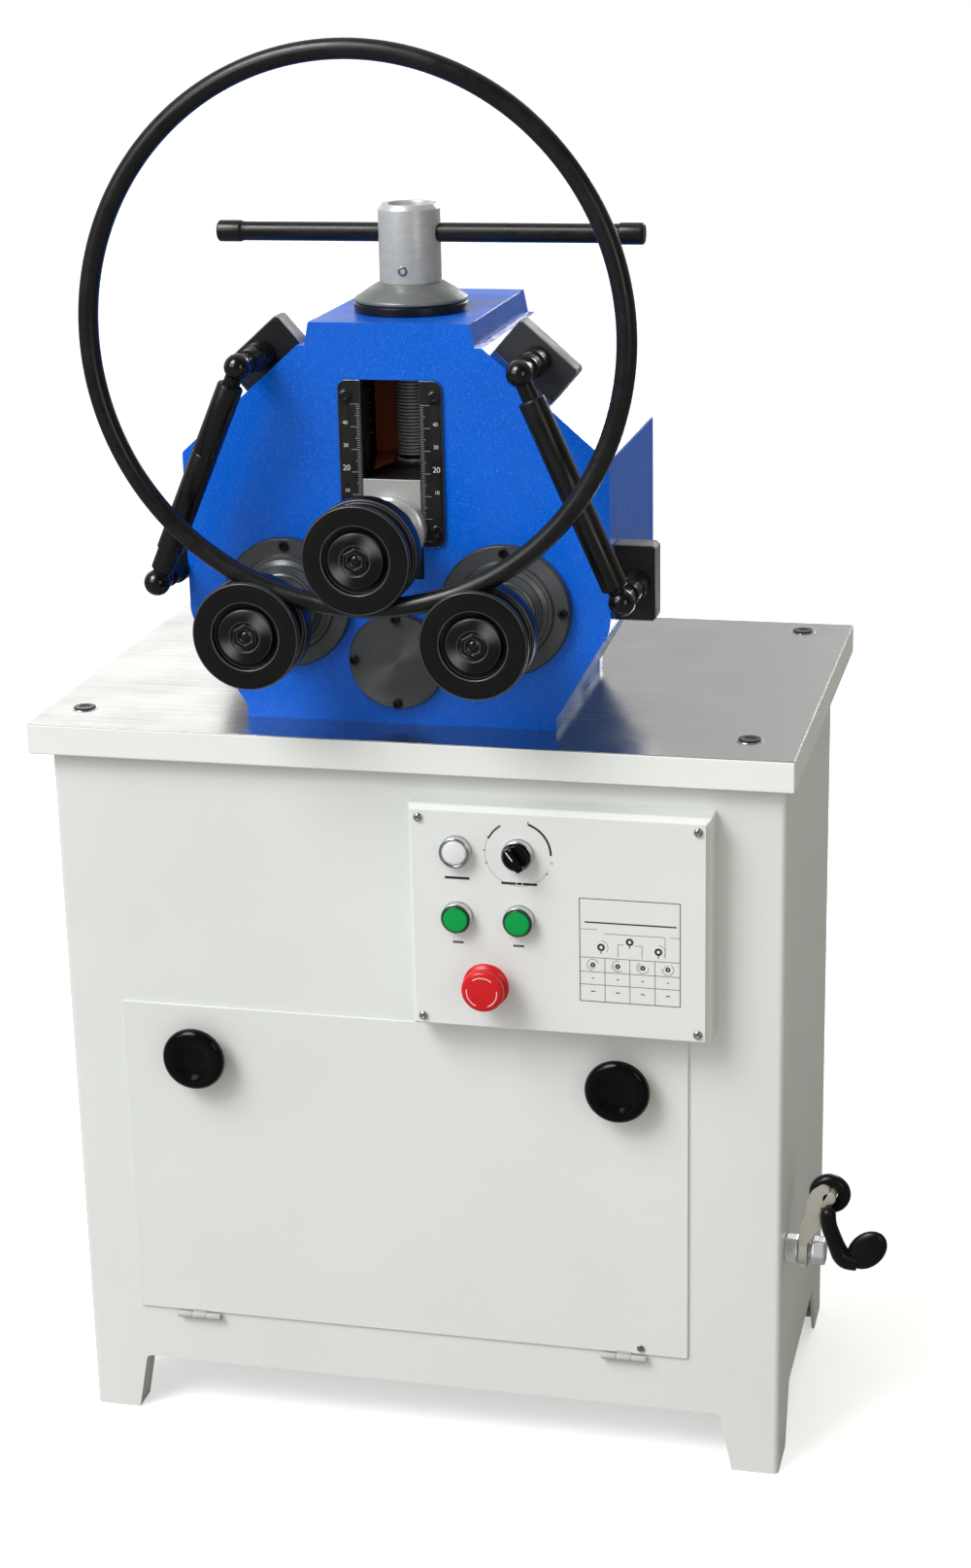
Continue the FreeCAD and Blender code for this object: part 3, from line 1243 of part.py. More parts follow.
def build_guides():
    """Two ball-ended rods with turning sleeves, each on two brackets."""
    back = "head_y + bracket_set_back + bracket_thick"
    blank = bracket_blank("guide_bracket", "bracket_width", "bracket_height", "0",
                          "stud_height")
    left_blank = bracket_blank("left_guide_bracket", "bracket_width", "left_bracket_height",
                               "0", "left_stud_height")
    small_blank = bracket_blank("small_guide_bracket", "left_lower_bracket_width",
                                "left_lower_bracket_height",
                                "0 - left_lower_bracket_lift", "left_lower_stud_height")
    level = FreeCAD.Rotation(FreeCAD.Vector(0, 1, 0), 90)
    level_left = FreeCAD.Rotation(FreeCAD.Vector(0, -1, 0), 90)
    roof = number("roof_angle")
    spots = [
        (blank, "head_x + roof_mid_x", "roof_mid_z",
         FreeCAD.Rotation(FreeCAD.Vector(0, 1, 0), roof)),
        (left_blank, "head_x - left_roof_mid_x", "left_roof_mid_z",
         FreeCAD.Rotation(FreeCAD.Vector(0, -1, 0), roof)),
        (blank, "head_x + side_half", "lower_ball_z", level),
        (small_blank, "head_x - side_half", "left_lower_ball_z + left_lower_bracket_lift",
         level_left)]
    brackets = []
    for index, (master, x, z, turn) in enumerate(spots, start=1):
        link = document.addObject("App::Link", f"guide_brackets_{index}")
        link.LinkedObject = master
        place(link, x, back, z, turn)
        if index < 3:
            link.setExpression("Placement.Rotation.Angle", formula("roof_angle"))
        brackets.append(link)
    group = document.addObject("Part::Compound", "guide_brackets")
    group.Links = brackets
    document.recompute()
    keep("guide_brackets", group)
    stud = turned("stud",
                  [(0, "0 - bracket_thick"), ("stud_dia / 2", "0 - bracket_thick"),
                   ("stud_dia / 2", 0), ("stud_collar_dia / 2 - 1", 0),
                   ("stud_collar_dia / 2", 1), ("stud_collar_dia / 2", "stud_collar - 2"),
                   ("stud_collar_dia / 2 - 2", "stud_collar"),
                   ("stud_dia / 2 + 1.5", "stud_collar"),
                   ("stud_dia / 2 + 1.5", "stud_reach - ball_dia / 2 - 3"),
                   ("stud_dia / 2", "stud_reach - ball_dia / 2 - 1"),
                   ("stud_dia / 2", "stud_reach - ball_dia / 2 + ball_pocket - 1"),
                   (0, "stud_reach - ball_dia / 2 + ball_pocket - 1")], turn=frontward)
    balls = {"left": [("head_x - left_upper_ball_x", "left_upper_ball_z"),
                      ("head_x - left_lower_ball_x", "left_lower_ball_z")],
             "right": [("head_x + upper_ball_x", "upper_ball_z"),
                       ("head_x + lower_ball_x", "lower_ball_z")]}
    keep("guide_studs", copies("guide_studs", stud, [
        (x, "head_y + bracket_set_back", z) for side in balls for x, z in balls[side]]))
    neck = "guide_neck_dia / 2"
    ball = "ball_dia / 2"
    meet = f"sqrt(({ball}) ^ 2 - ({neck}) ^ 2)"
    bore = f"{neck} + running_gap"
    sleeves = {
        "left": [(bore, "left_guide_low_neck"),
                 ("left_guide_end_dia / 2 - 1.5", "left_guide_low_neck"),
                 ("left_guide_end_dia / 2", "left_guide_low_neck + 1.5"),
                 ("left_guide_end_dia / 2", "left_guide_end - 1"),
                 ("left_guide_dia / 2", "left_guide_end"),
                 ("left_guide_dia / 2", "left_guide_length - left_guide_top_neck - 1.5"),
                 ("left_guide_dia / 2 - 1.5", "left_guide_length - left_guide_top_neck"),
                 (bore, "left_guide_length - left_guide_top_neck")],
        "right": [(bore, "guide_low_neck"), ("guide_dia / 2 - 1.5", "guide_low_neck"),
                  ("guide_dia / 2", "guide_low_neck + 1.5"),
                  ("guide_dia / 2", "guide_length - guide_top_neck - 1.5"),
                  ("guide_dia / 2 - 1.5", "guide_length - guide_top_neck"),
                  (bore, "guide_length - guide_top_neck")]}
    rods = []
    for side, lean_axis, angle, length in (
            ("left", 1, "left_guide_angle", "left_guide_length"),
            ("right", -1, "guide_angle", "guide_length")):
        x, z = balls[side][1]
        lean = FreeCAD.Rotation(FreeCAD.Vector(0, lean_axis, 0), number(angle))
        body = turned(
            f"guide_rod_{side}_bar",
            [(0, f"0 - {ball}"), (neck, meet, ball, 1), (neck, f"{length} - {meet}"),
             (0, f"{length} + {ball}", ball, 1)], (x, "ball_y", z), lean)
        sleeve = turned(f"{side}_guide_sleeve", sleeves[side], (x, "ball_y", z), lean)
        for item in (body, sleeve):
            item.setExpression("Placement.Rotation.Angle", formula(angle))
        keep(f"{side}_guide_sleeve", sleeve)
        pockets = [rod(f"ball_pocket_{side}_{index}", "stud_dia + 2 * running_gap", "20",
                       x, "ball_y + ball_dia / 2 + 20 - ball_pocket", z, frontward)
                   for index, (x, z) in enumerate(balls[side])]
        rods.append(less(f"guide_rod_{side}", body, pockets))
    group = document.addObject("Part::Compound", "guide_rods")
    group.Links = rods
    keep("guide_rods", group)


def build_drive():
    """Worm reducer behind the head and its motor."""
    case = block("reducer_case", "reducer_width", "reducer_depth", "reducer_height",
                 "head_x - reducer_width / 2", "head_back + reducer_flange",
                 "table_height + reducer_lift")
    flange = rod("reducer_flange_disc", "reducer_flange_dia", "reducer_flange", "head_x",
                 "head_back + reducer_flange", "pinion_z", frontward)
    trim = block("reducer_flange_trim", "reducer_flange_dia + 2", "reducer_flange + 2",
                 "60", "head_x - reducer_flange_dia / 2 - 1", "head_back - 1",
                 "table_height + reducer_lift - 60")
    hub = rod("reducer_hub", "76", "6", "head_x", "reducer_back + 6", "pinion_z", frontward)
    bore = rod("reducer_bore", "journal_dia + 2 * running_gap", "reducer_depth", "head_x",
               "reducer_back - 12", "pinion_z", frontward)
    keep("gear_reducer", less("gear_reducer",
                              joined("reducer_solid", [case, flange, hub]), [bore, trim]))
    motor_start = "0 - head_x"
    motor = turned(
        "motor_body",
        [(0, 0), ("motor_flange_dia / 2", 0), ("motor_flange_dia / 2", "motor_flange"),
         ("motor_dia / 2 - 6", "motor_flange + 4"),
         ("motor_dia / 2", "motor_flange + 10"),
         ("motor_dia / 2", "motor_flange + motor_length"),
         ("motor_dia / 2 + 2", "motor_flange + motor_length"),
         ("motor_dia / 2 + 2", "motor_flange + motor_length + fan_cover - 6"),
         ("motor_dia / 2 - 6", "motor_flange + motor_length + fan_cover"),
         (0, "motor_flange + motor_length + fan_cover")],
        ("head_x - reducer_width / 2", "motor_y", "motor_z"), leftward)
    box = block("terminal_box_block", "terminal_box", "terminal_box", "terminal_height + 20",
                "head_x - reducer_width / 2 - motor_flange - 30 - terminal_box",
                "motor_y - terminal_box / 2", "motor_z + motor_dia / 2 - 20")
    keep("drive_motor", joined("drive_motor", [motor, box]))


def build_side_lever():
    """Bolted arm on the cabinet's right side with its hanging lever."""
    wall = "cabinet_right"
    shank = rod("bolt_shank", "bolt_dia", "bolt_head_start", wall, "lever_y", "lever_bolt_z",
                rightward)
    head = hexagon("bolt_head", "hex_across", "nut_thick", f"{wall} + bolt_head_start",
                   "lever_y", "lever_bolt_z", rightward)
    keep("lever_bolt", joined("lever_bolt", [shank, head]))
    nut = hexagon("nut_blank", "hex_across", "nut_thick", wall, "lever_y", "lever_bolt_z",
                  rightward)
    nut_hole = rod("nut_hole", "bolt_dia + 2 * running_gap", "nut_thick + 2", f"{wall} - 1",
                   "lever_y", "lever_bolt_z", rightward)
    keep("lever_nut", less("lever_nut", nut, [nut_hole]))
    eye = rod("arm_eye", "arm_eye_dia", "arm_thick", f"{wall} + arm_start", "lever_y",
              "lever_bolt_z", rightward)
    riser = plate("arm_riser", "XZ_Plane",
                  [(f"{wall} + arm_start", "lever_bolt_z"),
                   (f"{wall} + arm_start + arm_thick", "lever_bolt_z"),
                   (f"{wall} + arm_start + arm_thick", "lever_bolt_z + 12"),
                   (f"{wall} + eye_x - 8", "lever_bolt_z + 29"),
                   (f"{wall} + eye_x - 8", "eye_z - 16"),
                   (f"{wall} + eye_x - 6", "eye_z - 6.5"),
                   (f"{wall} + eye_x + 1.5", "eye_z + 9.5"),
                   (f"{wall} + eye_x - 6", "eye_z + 12", "9", 1),
                   (f"{wall} + eye_x - 20.5", "eye_z - 6", "24", 1),
                   (f"{wall} + eye_x - 20", "eye_z - 17"),
                   (f"{wall} + arm_start", "lever_bolt_z + 30")],
                  "riser_thick", (0, "riser_front + riser_thick", 0))
    lug = block("arm_lug", "arm_thick", "lever_y - riser_front", "24",
                f"{wall} + arm_start", "riser_front", "lever_bolt_z")
    eye_hole = rod("arm_hole", "bolt_dia + 2 * running_gap", "arm_thick + 2",
                   f"{wall} + arm_start - 1", "lever_y", "lever_bolt_z", rightward)
    peg_length = "lever_y - riser_front + lever_dia / 2 + 6"
    peg = rod("arm_peg", "peg_dia", peg_length, f"{wall} + eye_x",
              f"riser_front + {peg_length}", "eye_z", frontward)
    keep("lever_arm", joined("lever_arm", [
        less("lever_arm_plate", joined("lever_arm_blank", [eye, riser, lug]), [eye_hole]),
        peg]))
    eye_ring = document.addObject("Part::Torus", "lever_eye")
    eye_ring.setExpression("Radius1", formula("eye_radius"))
    eye_ring.setExpression("Radius2", formula("lever_dia / 2"))
    place(eye_ring, f"{wall} + eye_x", "lever_y", "eye_z", frontward)
    crossing = rod("lever_crossing", "lever_dia", "lever_y - stem_y", f"{wall} + eye_x",
                   "lever_y", "eye_z - eye_radius", frontward)
    route = [(f"{wall} + eye_x + 0.8", "eye_z - 11"), (f"{wall} + eye_x + 0.8", "eye_z - 20.5"),
             (f"{wall} + eye_x + 9.5", "eye_z - 43.5"), (f"{wall} + eye_x + 18", "eye_z - 56"),
             (f"{wall} + eye_x + 28", "eye_z - 57.5")]
    spine = document.addObject("PartDesign::Body", "lever_spine")
    path = new_sketch(spine, "lever_path", "XZ_Plane")
    spots = [FreeCAD.Vector(number(x), number(z), 0) for x, z in route]
    last = len(route) - 1
    for index in range(last):
        path.addGeometry(Part.LineSegment(spots[index], spots[index + 1]), False)
    for index, (x, z) in enumerate(route):
        line, end = (index, 1) if index < last else (index - 1, 2)
        if 0 < index < last:
            path.addConstraint(Sketcher.Constraint("Coincident", index - 1, 2, index, 1))
        tie(path, Sketcher.Constraint("DistanceX", -1, 1, line, end, spots[index].x), x)
        tie(path, Sketcher.Constraint("DistanceY", -1, 1, line, end, spots[index].y), z)
    section = new_sketch(spine, "lever_section", "XY_Plane")
    section.setExpression("AttachmentOffset.Base.z", formula(route[0][1]))
    draw_circle(section, route[0][0], "0", "stem_round")
    pipe = spine.newObject("PartDesign::AdditivePipe", "lever_pipe")
    pipe.Profile = section
    pipe.Spine = (path, [])
    pipe.Transition = "Round corner"
    place(spine, 0, "stem_y", 0)
    document.recompute()
    top = sphere_at("lever_top", "stem_round", route[0][0], "stem_y", route[0][1])
    elbow = sphere_at("lever_elbow", "elbow_round", f"{wall} + eye_x + 16.5", "stem_y",
                      "eye_z - 53.5")
    spoon = document.addObject("Part::Ellipsoid", "lever_spoon")
    for prop, rule in (("Radius1", "spoon_thick"), ("Radius2", "spoon_length"),
                       ("Radius3", "spoon_width")):
        spoon.setExpression(prop, formula(f"{rule} / 2"))
    place(spoon, f"{wall} + eye_x + 36.5", "stem_y", "eye_z - 44",
          FreeCAD.Rotation(FreeCAD.Vector(0, 1, 0), -51).multiply(frontward))
    keep("side_lever", joined("side_lever", [eye_ring, crossing, spine, top, elbow, spoon]))


def build_ring():
    """The bent bar: a ring that touches all three rolls in their grooves."""
    ring = document.addObject("Part::Torus", "workpiece_ring")
    ring.setExpression("Radius1", formula("ring_inner + bar_dia / 2"))
    ring.setExpression("Radius2", formula("bar_dia / 2"))
    place(ring, "head_x", "groove_y", "ring_z", frontward)
    keep("workpiece_ring", ring)


def check_and_write():
    """Check every object and sub-part, then write one file for each sub-part."""
    document.recompute()
    for item in document.Objects:
        if "Invalid" in item.State or "Error" in item.State:
            raise RuntimeError(f"{item.Label} failed: {item.State}")
    os.makedirs("parts", exist_ok=True)
    for node, item in nodes.items():
        shape = item.Shape
        if shape.isNull() or not shape.isValid() or shape.Volume <= 0:
            raise RuntimeError(f"{node} has no sound shape")
        shape.exportStep(f"parts/{node}.step")
        box = shape.BoundBox
        print(f"{node}: {len(shape.Solids)} solids, {shape.Volume / 1000:.1f} cm3, "
              f"x {box.XMin:.1f}..{box.XMax:.1f} y {box.YMin:.1f}..{box.YMax:.1f} "
              f"z {box.ZMin:.1f}..{box.ZMax:.1f}")


build_cabinet()
build_table()
build_control_box()
build_door()
build_head()
build_front_fittings()
build_gears()
build_rolls()
build_slide()
build_spindle()
build_guides()
build_drive()
build_side_lever()
build_ring()
check_and_write()
print(len(nodes), "sub-parts")
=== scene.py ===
import math

import bmesh
import bpy
from mathutils import Matrix, Vector


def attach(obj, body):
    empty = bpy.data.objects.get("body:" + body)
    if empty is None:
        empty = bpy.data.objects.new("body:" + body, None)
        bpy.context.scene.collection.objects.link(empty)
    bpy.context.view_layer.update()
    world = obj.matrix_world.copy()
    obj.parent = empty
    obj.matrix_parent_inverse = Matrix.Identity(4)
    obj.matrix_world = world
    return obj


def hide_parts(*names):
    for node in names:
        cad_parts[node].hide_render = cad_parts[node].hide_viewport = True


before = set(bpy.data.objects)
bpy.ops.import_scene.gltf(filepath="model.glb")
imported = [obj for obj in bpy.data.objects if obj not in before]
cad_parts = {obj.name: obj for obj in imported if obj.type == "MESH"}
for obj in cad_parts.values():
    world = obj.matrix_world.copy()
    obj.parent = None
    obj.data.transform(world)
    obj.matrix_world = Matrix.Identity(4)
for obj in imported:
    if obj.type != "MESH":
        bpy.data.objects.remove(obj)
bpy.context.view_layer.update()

mm = 0.001
scene = bpy.context.scene
# where the own Z of a piece points
upright = Matrix.Identity(4)
toFront, toBack = (Matrix.Rotation(math.radians(angle), 4, "X") for angle in (90, -90))
toRight, toLeft = (Matrix.Rotation(math.radians(angle), 4, "Y") for angle in (90, -90))
print("frame loaded")


# ---- finishes ----

def addNode(tree, kind, inputs, **settings):
    # inputs maps a socket's name or number to another socket or to a constant
    node = tree.nodes.new("ShaderNode" + kind)
    for key, value in settings.items():
        setattr(node, key, value)
    for key, item in inputs.items():
        if isinstance(item, bpy.types.NodeSocket):
            tree.links.new(item, node.inputs[key])
        else:
            node.inputs[key].default_value = item
    return node.outputs


def noiseNode(tree, vector, scale, detail=3, roughness=0.55):
    return addNode(tree, "TexNoise", {"Vector": vector, "Scale": scale, "Detail": detail,
                                      "Roughness": roughness})["Fac"]


def rangeNode(tree, value, low, high, toLow=0, toHigh=1):
    return addNode(tree, "MapRange", {"Value": value, "From Min": low, "From Max": high,
                                      "To Min": toLow, "To Max": toHigh})["Result"]


def mixNode(tree, factor, first, second):
    return addNode(tree, "Mix", {0: factor, 6: first, 7: second}, data_type="RGBA")[2]


def mathNode(tree, operation, first, second=0):
    return addNode(tree, "Math", {0: first, 1: second}, operation=operation)[0]


def vectorNode(tree, operation, first, second=(0, 0, 0)):
    return addNode(tree, "VectorMath", {0: first, 1: second}, operation=operation)


def openGroup(name, inputs):
    # a node group whose inputs are numbers, vectors of three and colours of four
    group = bpy.data.node_groups.new(name, "ShaderNodeTree")
    kinds = {1: "NodeSocketFloat", 3: "NodeSocketVector", 4: "NodeSocketColor"}
    for label, value in inputs.items():
        count = len(value) if isinstance(value, tuple) else 1
        socket = group.interface.new_socket(name=label, in_out="INPUT", socket_type=kinds[count])
        socket.default_value = value
    for label, count in (("Color", 4), ("Roughness", 1), ("Normal", 3)):
        group.interface.new_socket(name=label, in_out="OUTPUT", socket_type=kinds[count])
    place = group.nodes.new("ShaderNodeTexCoord").outputs["Object"]
    return group, group.nodes.new("NodeGroupInput").outputs, place


def closeGroup(group, colour, rough, strength, height, distance):
    bump = addNode(group, "Bump", {"Distance": distance, "Strength": strength, "Height": height})
    ends = group.nodes.new("NodeGroupOutput").inputs
    for label, item in (("Color", colour), ("Roughness", rough), ("Normal", bump["Normal"])):
        group.links.new(item, ends[label])
    return group


def buildPaintGroup():
    # powder coat: soft mottling, fine sparkle and orange peel
    group, ins, place = openGroup("powderCoat", {
        "Base": (0.5, 0.5, 0.5, 1), "Mark": (0.4, 0.4, 0.4, 1), "Sparkle": 0.2, "Gloss": 0.4,
        "Peel": 0.1})
    clouds = rangeNode(group, noiseNode(group, place, 5, 4), 0.35, 0.7)
    mottled = mixNode(group, clouds, ins["Base"], ins["Mark"])
    flakes = rangeNode(group, noiseNode(group, place, 900, 1), 0.6, 0.78)
    spark = mathNode(group, "MULTIPLY", flakes, ins["Sparkle"])
    smears = rangeNode(group, noiseNode(group, place, 18, 5), 0.3, 0.7, -0.06, 0.08)
    return closeGroup(group, mixNode(group, spark, mottled, (0.3, 0.55, 1, 1)),
                      mathNode(group, "ADD", ins["Gloss"], smears), ins["Peel"],
                      noiseNode(group, place, 380, 2), 0.0004)


def wearMask(group, marks, strength, smudges, low, depth):
    # fine marks with softer smudges laid over them
    fine = mathNode(group, "MULTIPLY", rangeNode(group, marks, 0.3, 0.7), strength)
    return mathNode(group, "ADD", fine, rangeNode(group, smudges, low, 0.75, 0, depth))


def buildMetalGroup():
    # drawn or rolled metal: streaks along one way, smudges and small scratches
    group, ins, place = openGroup("workedMetal", {
        "Base": (0.5, 0.5, 0.5, 1), "Mark": (0.3, 0.3, 0.3, 1), "Stretch": (1, 1, 1),
        "Gloss": 0.3, "Relief": 0.1})
    stretched = vectorNode(group, "MULTIPLY", place, ins["Stretch"])[0]
    streaks = noiseNode(group, stretched, 1, 4, 0.65)
    worn = wearMask(group, streaks, 0.65, noiseNode(group, place, 14, 4), 0.35, 0.35)
    rough = mathNode(group, "ADD", ins["Gloss"], rangeNode(group, worn, 0.2, 0.9, -0.06, 0.12))
    return closeGroup(group, mixNode(group, worn, ins["Base"], ins["Mark"]), rough,
                      ins["Relief"], streaks, 0.0002)


def buildTurnedGroup():
    # lathe marks: rings about a line that runs front to back, and two painted highlight lobes
    # across them, lighter at a fixed angle whatever the light
    group, ins, place = openGroup("latheMarksAndSheen", {
        "Base": (0.3, 0.3, 0.3, 1), "Mark": (0.2, 0.2, 0.2, 1), "Centre": (0, 0, 0),
        "Gloss": 0.35, "Relief": 0.15, "PaintedSheen": 0.0})
    offset = vectorNode(group, "SUBTRACT", place, ins["Centre"])[0]
    flat = vectorNode(group, "MULTIPLY", offset, (1, 0, 1))[0]
    length = vectorNode(group, "LENGTH", flat)["Value"]
    rings = addNode(group, "TexNoise", {"W": length, "Scale": 900, "Detail": 3},
                    noise_dimensions="1D")["Fac"]
    worn = wearMask(group, rings, 0.6, noiseNode(group, place, 22, 4), 0.3, 0.45)
    # painted sheen: the colour is lightened towards pale grey in two lobes at a fixed angle about
    # the centre
    around = vectorNode(group, "NORMALIZE", flat)[0]
    along = vectorNode(group, "DOT_PRODUCT", around, (0.743, 0, 0.669))["Value"]
    paintedLobes = mathNode(group, "POWER", mathNode(group, "ABSOLUTE", along), 12)
    paintedSheen = mathNode(group, "MULTIPLY", paintedLobes, ins["PaintedSheen"])
    marked = mixNode(group, worn, ins["Base"], ins["Mark"])
    rough = mathNode(group, "ADD", ins["Gloss"], rangeNode(group, worn, 0.2, 0.9, -0.06, 0.1))
    return closeGroup(group, mixNode(group, paintedSheen, marked, (0.45, 0.47, 0.5, 1)), rough,
                      ins["Relief"], rings, 0.00015)


powderCoat = buildPaintGroup()
workedMetal = buildMetalGroup()
latheMarksAndSheen = buildTurnedGroup()


def makeFinish(name, group, metallic, coat, specular, base, mark, values):
    material = bpy.data.materials.new(name)
    material.use_nodes = True
    tree = material.node_tree
    surface = tree.nodes["Principled BSDF"].inputs
    for label, value in (("Metallic", metallic), ("Coat Weight", coat), ("Coat Roughness", 0.15),
                         ("Specular IOR Level", specular)):
        surface[label].default_value = value
    use = tree.nodes.new("ShaderNodeGroup")
    use.node_tree = group
    for label, value in {"Base": (*base, 1), "Mark": (*mark, 1), **values}.items():
        use.inputs[label].default_value = value
    for label, target in (("Color", "Base Color"), ("Roughness",) * 2, ("Normal",) * 2):
        tree.links.new(use.outputs[label], surface[target])
    return material


def paint(name, base, mark, sparkle=0, gloss=0.4, peel=0.1, coat=0, specular=0.5):
    return makeFinish(name, powderCoat, 0, coat, specular, base, mark,
                      {"Sparkle": sparkle, "Gloss": gloss, "Peel": peel})


def metal(name, base, mark, stretch=120, gloss=0.3, relief=0.1, metallic=1, specular=0.5):
    stretch = stretch if isinstance(stretch, tuple) else (stretch,) * 3
    return makeFinish(name, workedMetal, metallic, 0, specular, base, mark,
                      {"Stretch": stretch, "Gloss": gloss, "Relief": relief})


rollCentres = {
    "lowerLeft": (-118, 811.5),
    "lowerRight": (82, 811.5),
    "upper": (-18, 881.2),
    "pinion": (-18, 761.06),
}


def lathe(name, key, base, mark, gloss, relief, metallic, specular=0.5, paintedSheen=0):
    x, z = rollCentres[key]
    return makeFinish(key + name, latheMarksAndSheen, metallic, 0, specular, base, mark, {
        "Centre": (x * mm, 0, z * mm), "Gloss": gloss, "Relief": relief, "PaintedSheen": paintedSheen})


bluePaint = paint("bluePowderCoat", (0, 0.15, 0.86), (0, 0.13, 0.76), 0.34, 0.25, 0.08,
                  specular=0.4)
# the head's blue made darker and less shiny: painted shade on the head's lower side faces
blueShadedUnder = paint("bluePaintShadedUnder", (0, 0.15, 0.66), (0, 0.13, 0.58), 0, 0.48, 0, specular=0.1)
greyPaint = paint("lightGreyPowderCoat", (0.775, 0.8, 0.775), (0.745, 0.77, 0.745), 0.01, 0.4,
                  0.16)
# the cabinet paint made lighter: painted light, so the table rim's front is as bright as the
# cabinet front
rimPaintLit = paint("rimPaintLit", (0.88, 0.905, 0.88), (0.85, 0.875, 0.85), 0.01, 0.4, 0.16)
# the cabinet paint made darker: painted shade on the small hinge knuckles, which otherwise catch
# the light
hingeShadedPaint = paint("hingeShadedPaint", (0.5, 0.515, 0.49), (0.46, 0.475, 0.45), 0, 0.5, specular=0.3)
# the cabinet's paint made darker and warmer: painted shade of the machine's right side on the
# lever arm
armShadedPaint = paint("armShadedPaint", (0.46, 0.45, 0.39), (0.38, 0.37, 0.32), 0.02, 0.42, 0.2)
panelPaint = paint("panelPaint", (0.79, 0.815, 0.8), (0.77, 0.795, 0.78), 0, 0.33, 0.04)
insidePaint = paint("insidePrimer", (0.62, 0.145, 0.065), (0.44, 0.085, 0.038), 0, 0.4, 0.3)
drivePaint = paint("motorPaint", (0.16, 0.18, 0.19), (0.13, 0.145, 0.155), 0, 0.45, 0.4)
stainless = metal("brushedStainless", (0.64, 0.63, 0.61), (0.5, 0.49, 0.475), (6, 900, 900),
                  0.22, 0.12)
brightSteel = metal("brightSteel", (0.72, 0.73, 0.74), (0.55, 0.56, 0.58), 300, 0.18, 0.05)
chromeBolt = metal("chromeBolt", (0.9, 0.91, 0.93), (0.74, 0.75, 0.77), 40, 0.16, 0.02, 0.5, 0.8)
plainSteel = metal("plainSteel", (0.42, 0.43, 0.45), (0.3, 0.31, 0.33), (200, 200, 40), 0.34,
                   0.12)
bracketEdge = metal("bracketEdge", (0.42, 0.41, 0.39), (0.14, 0.14, 0.135), (40, 90, 40), 0.55,
                    0.1, 0.15, 0.25)
# lighter metal on the softened edges of rolls, caps, hex bosses and scale-strip screws: painted
# highlight lines
rollEdgeHighlight = metal("rollEdgeHighlight", (0.15, 0.155, 0.165), (0.055, 0.056, 0.06), 60, 0.3, 0.05, 0.4)
darkEdge = metal("darkEdge", (0.09, 0.092, 0.096), (0.035, 0.036, 0.038), 140, 0.26)
zincHub = metal("zincHub", (0.8, 0.82, 0.83), (0.58, 0.6, 0.61), (90, 90, 160), 0.36, 0.3, 0.45)
hubLip = metal("hubLip", (0.86, 0.87, 0.88), (0.72, 0.73, 0.74), 200, 0.28, 0.08, 0.5)
coneCast = metal("coneGrey", (0.3, 0.315, 0.305), (0.22, 0.235, 0.225), (70, 70, 120), 0.4, 0.3,
                 0.5)
bracketGrey = metal("bracketGrey", (0.095, 0.1, 0.108), (0.055, 0.058, 0.064), (30, 300, 300),
                    0.32, 0.1, 0.5)
bracketBlack = metal("bracketBlack", (0.03, 0.031, 0.033), (0.05, 0.051, 0.054), (30, 300, 300),
                     0.36, 0.15, 0.6)
blackSteel = metal("blackSteel", (0.01, 0.01, 0.011), (0.018, 0.018, 0.02), (60, 260, 60), 0.33,
                   0.15, 0.3)
blackBar = metal("blackBar", (0.004, 0.004, 0.0045), (0.01, 0.01, 0.011), 60, 0.3, 0.04, 0, 0.6)
sleeveBlack = metal("sleeveBlack", (0.0035, 0.0035, 0.004), (0.005, 0.005, 0.0055), 30, 0.27, 0,
                    0, 0.7)
studBlack = metal("studBlack", (0.005, 0.005, 0.0055), (0.01, 0.01, 0.011), 60, 0.26, 0.02, 0.05,
                  0.35)
threadSteel = metal("threadSteel", (0.92, 0.93, 0.92), (0.62, 0.63, 0.62), (60, 60, 300), 0.3,
                    0.05, 0.4)
carriageSteel = metal("carriageSteel", (0.6, 0.62, 0.6), (0.48, 0.5, 0.48), (40, 300, 400), 0.42,
                      0.1, 0.4)
bossSteel = metal("bossSteel", (0.8, 0.81, 0.8), (0.55, 0.56, 0.55), 120, 0.22, 0.08, 0.5)
stripMetal = metal("scaleStripBlack", (0.016, 0.016, 0.017), (0.045, 0.045, 0.046),
                   (200, 200, 30), 0.3, 0.08, 0.5)
glossBlack = paint("glossBlackPlastic", (0.002, 0.002, 0.0025), (0.004, 0.004, 0.005), 0, 0.1,
                   0.02, specular=0.22)
ballBlack = paint("ballBlack", (0.002, 0.002, 0.0025), (0.004, 0.004, 0.005), 0, 0.16, 0.02,
                  specular=0.8)
rubberBlack = paint("dippedRubber", (0.0025, 0.0025, 0.003), (0.005, 0.0045, 0.005), 0, 0.3,
                    0.15, specular=0.35)
greenCap = paint("greenCap", (0.001, 0.36, 0.072), (0.001, 0.32, 0.062), 0, 0.3, 0.05, 0, 0.3)
greenRim = paint("greenRim", (0.002, 0.085, 0.022), (0.001, 0.07, 0.016), 0, 0.3, 0.05)
redCap = paint("redCap", (0.66, 0.007, 0.012), (0.6, 0.006, 0.01), 0, 0.24, 0.04)
milkLens = paint("milkLens", (0.82, 0.83, 0.84), (0.76, 0.77, 0.79), 0, 0.22, 0.03, 0.3)
whiteInk = paint("whiteInk", (0.82, 0.82, 0.81), (0.72, 0.72, 0.71), 0, 0.5)
darkInk = paint("darkInk", (0.018, 0.018, 0.02), (0.035, 0.035, 0.037), 0, 0.5)
greyInk = paint("greyInk", (0.085, 0.088, 0.092), (0.13, 0.133, 0.137), 0, 0.5)
paleInk = paint("paleInk", (0.36, 0.36, 0.36), (0.48, 0.48, 0.48), 0, 0.5)
